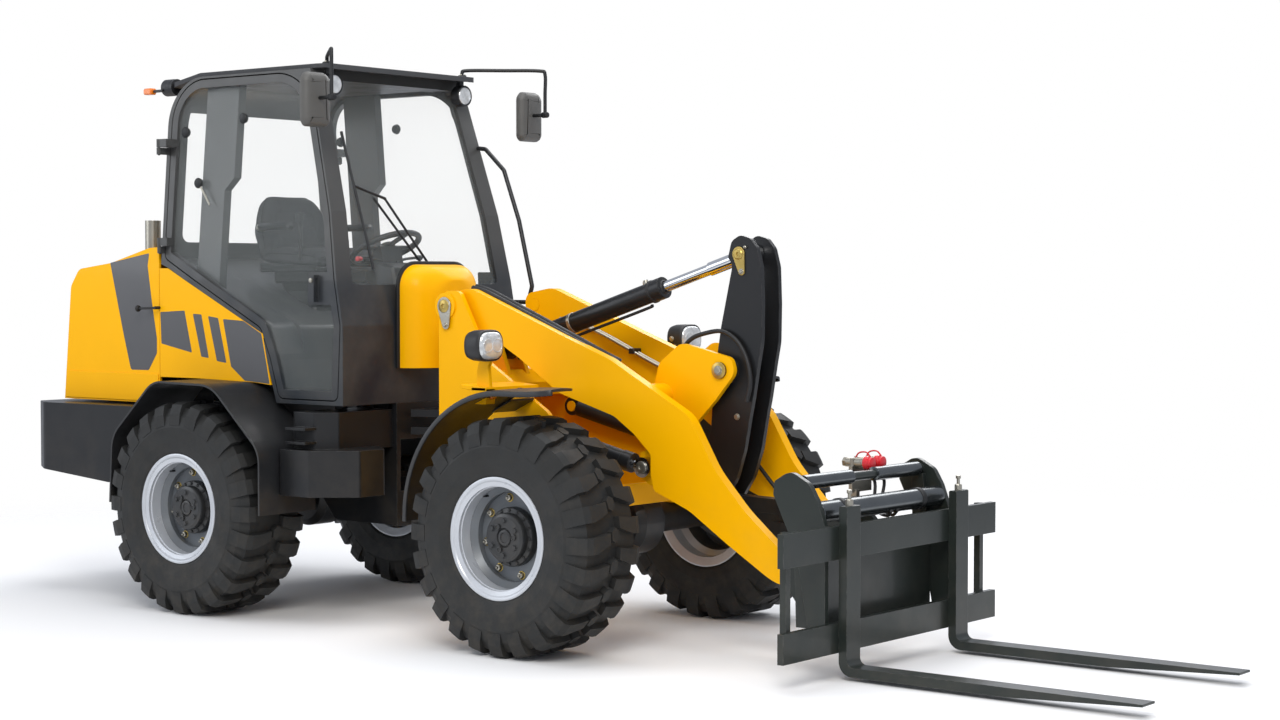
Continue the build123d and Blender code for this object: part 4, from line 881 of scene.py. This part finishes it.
kit.lathe([(20.5, 90), (30, 92), (30, 438), (20.5, 440)], off_middle(HANGER, 0), (0, 1, 0), 40, "tube", both=True)
kit.lathe([(0, -EAR_INNER), (42, 1 - EAR_INNER), (44, 4 - EAR_INNER), (44, EAR_INNER - 4), (42, EAR_INNER - 1), (0, EAR_INNER)],
          off_middle(CROSS_TUBE, 0), (0, 1, 0), 44, "tube")
for y in (-300, 300):
    kit.lathe([(44.3, -14), (48, -12), (48, 12), (44.3, 14)], off_middle(CROSS_TUBE, y), (0, 1, 0), 44, "trim")
for ys in ((122, 122, 100, 90, 40), (206, 196, 150, 130, 90)):
    kit.tube([(x, y, z) for y, (x, z) in zip(ys, HOSE_RUN)], 7, "hose")
kit.done()
kit = Kit("tine_locks", "fork_coupler", "carriage_paint", "steel")
for y in TINE_Y:
    kit.lathe([(16, 0), (16, 22), (12, 26), (7, 27), (7, 48), (11, 50), (11, 62), (0, 66)], (2452, y, 700),
              (0, 0, 1), 20, "steel")
kit.done()

# Latch rods with knobs behind the doors, and on each door the glass knobs, a stay and the lock's button
kit = Kit("cab_fittings", "rear_frame", "fender_plastic", "trim")
kit.rod((-1496, 596, 1462), (-1500, 642, 1462), 8, look="trim", both=True)
kit.rod((-1500, 636, 1462), (-1606, 650, 1458), 6, look="trim", both=True)
kit.lathe([(8, 0), (15, 4), (17, 12), (12, 20), (0, 22)], (-1604, 650, 1458), (-1, 0, 0), 20, "trim", both=True)
kit.done()
CAB_HALF, CAB_ROOF_HALF, CAB_WAIST, CAB_TOP, KNOB_SEAT = 610.0, 526.0, 1600.0, 2605.0, 16.0
KNOBS = [(-1380, 2334), (-961, 2386), (-1263, 2079)]
for side, label in ((1, "left"), (-1, "right")):
    kit = Kit("door_fittings_" + label, "door_" + label, "cab_paint", "trim", "steel")
    lean = (CAB_HALF - CAB_ROOF_HALF) / (CAB_TOP - CAB_WAIST)
    for x, z in KNOBS:
        y = side * (CAB_HALF - (z - CAB_WAIST) * lean - KNOB_SEAT)
        kit.lathe([(26, 0), (26, 4), (22, 9), (12, 12), (0, 13)], (x, y, z), (0, side, 0), 26, "trim")
        kit.lathe([(22, 0), (22, 6), (16, 12), (0, 14)], (x, y - side * 6, z), (0, -side, 0), 26, "trim")
    kit.rod((-1175, side * 560, 1969), (-1263, side * 552, 2079), 5, look="steel")
    kit.lathe([(9, 0), (11, 4), (11, 14), (0, 18)], (-376, side * 633, 1600), (0, side, 0), 20, "steel")
    kit.done()

# Studio, camera and light; the camera stands where the photograph's stood
AZIMUTH, ELEVATION, LENS, CAMERA = 38.30, 2.095, 64.34, (6.814, -8.087, 1.619)
FLOOR_RADIUS, FADE_FROM, FADE_TO = 16.0, 3.4, 7.5


def studio():
    size, rings, steps = FLOOR_RADIUS, 24, 64
    verts, faces = [(0.0, 0.0, 0.0)], []
    for k in range(1, rings + 1):
        for i in range(steps):
            a = 2 * math.pi * i / steps
            verts.append((size * k / rings * math.cos(a), size * k / rings * math.sin(a), 0.0))
    for i in range(steps):
        faces.append([0, 1 + i, 1 + (i + 1) % steps])
    for k in range(rings - 1):
        for i in range(steps):
            j = (i + 1) % steps
            faces.append([1 + k * steps + i, 1 + (k + 1) * steps + i, 1 + (k + 1) * steps + j, 1 + k * steps + j])
    mesh = bpy.data.meshes.new("studio_floor")
    mesh.from_pydata(verts, [], faces)
    floor = bpy.data.objects.new("studio_floor", mesh)
    bpy.context.scene.collection.objects.link(floor)
    mat = bpy.data.materials.new("floor_paper")
    mat.use_nodes = True
    t = mat.node_tree
    bsdf = t.nodes["Principled BSDF"]
    settings(bsdf, Base_Color=(0.9, 0.9, 0.9, 1), Roughness=0.9, Specular_IOR_Level=0.1)
    coords = t.nodes.new("ShaderNodeTexCoord")
    length = t.nodes.new("ShaderNodeVectorMath")
    length.operation = "LENGTH"
    t.links.new(coords.outputs["Object"], length.inputs[0])
    fade = t.nodes.new("ShaderNodeMapRange")
    fade.interpolation_type = "SMOOTHSTEP"
    settings(fade, From_Min=FADE_FROM, From_Max=FADE_TO, To_Min=1.0, To_Max=0.0)
    t.links.new(length.outputs["Value"], fade.inputs["Value"])
    t.links.new(fade.outputs["Result"], bsdf.inputs["Alpha"])
    mesh.materials.append(mat)

    scene = bpy.context.scene
    world = bpy.data.worlds.new("studio")
    scene.world = world
    world.use_nodes = True
    w = world.node_tree
    w.nodes.clear()
    out = w.nodes.new("ShaderNodeOutputWorld")
    light, white = w.nodes.new("ShaderNodeBackground"), w.nodes.new("ShaderNodeBackground")
    settings(light, Color=(0.86, 0.9, 1.0, 1), Strength=0.62)
    settings(white, Color=(1, 1, 1, 1), Strength=1.0)
    path, pick, either = w.nodes.new("ShaderNodeLightPath"), w.nodes.new("ShaderNodeMixShader"), w.nodes.new("ShaderNodeMath")
    either.operation = "MAXIMUM"
    w.links.new(path.outputs["Is Camera Ray"], either.inputs[0])
    w.links.new(path.outputs["Is Transmission Ray"], either.inputs[1])
    w.links.new(either.outputs[0], pick.inputs["Fac"])
    w.links.new(light.outputs[0], pick.inputs[1])
    w.links.new(white.outputs[0], pick.inputs[2])
    w.links.new(pick.outputs[0], out.inputs["Surface"])

    for name, spot, target, width, power, tint in (
        ("key", (5.5, -7.5, 7.5), (0.0, 0.0, 0.6), 4.5, 620, (1, 0.97, 0.92)),
        ("fill", (-7.0, -6.0, 4.0), (-0.5, 0.0, 0.8), 5.0, 170, (0.92, 0.96, 1)),
        ("back", (-2.0, 7.5, 6.5), (0.0, 0.0, 1.0), 5.0, 330, (1, 1, 1)),
        ("top", (0.0, 0.5, 8.0), (0.0, 0.0, 0.0), 6.0, 300, (1, 1, 1)),
    ):
        data = bpy.data.lights.new(name, "AREA")
        data.size, data.energy, data.color = width, power, tint
        lamp = bpy.data.objects.new(name, data)
        lamp.location = spot
        lamp.rotation_euler = (Vector(target) - Vector(spot)).to_track_quat("-Z", "Y").to_euler()
        scene.collection.objects.link(lamp)

    azimuth, elevation = math.radians(AZIMUTH), math.radians(ELEVATION)
    back = Vector((math.sin(azimuth) * math.cos(elevation), -math.cos(azimuth) * math.cos(elevation), math.sin(elevation)))
    data = bpy.data.cameras.new("camera")
    data.lens, data.sensor_width = LENS, 36.0
    data.clip_end = 200
    camera = bpy.data.objects.new("camera", data)
    camera.location = CAMERA
    camera.rotation_euler = (-back).to_track_quat("-Z", "Y").to_euler()
    scene.collection.objects.link(camera)
    scene.camera = camera
    scene.view_settings.view_transform = "Standard"


studio()
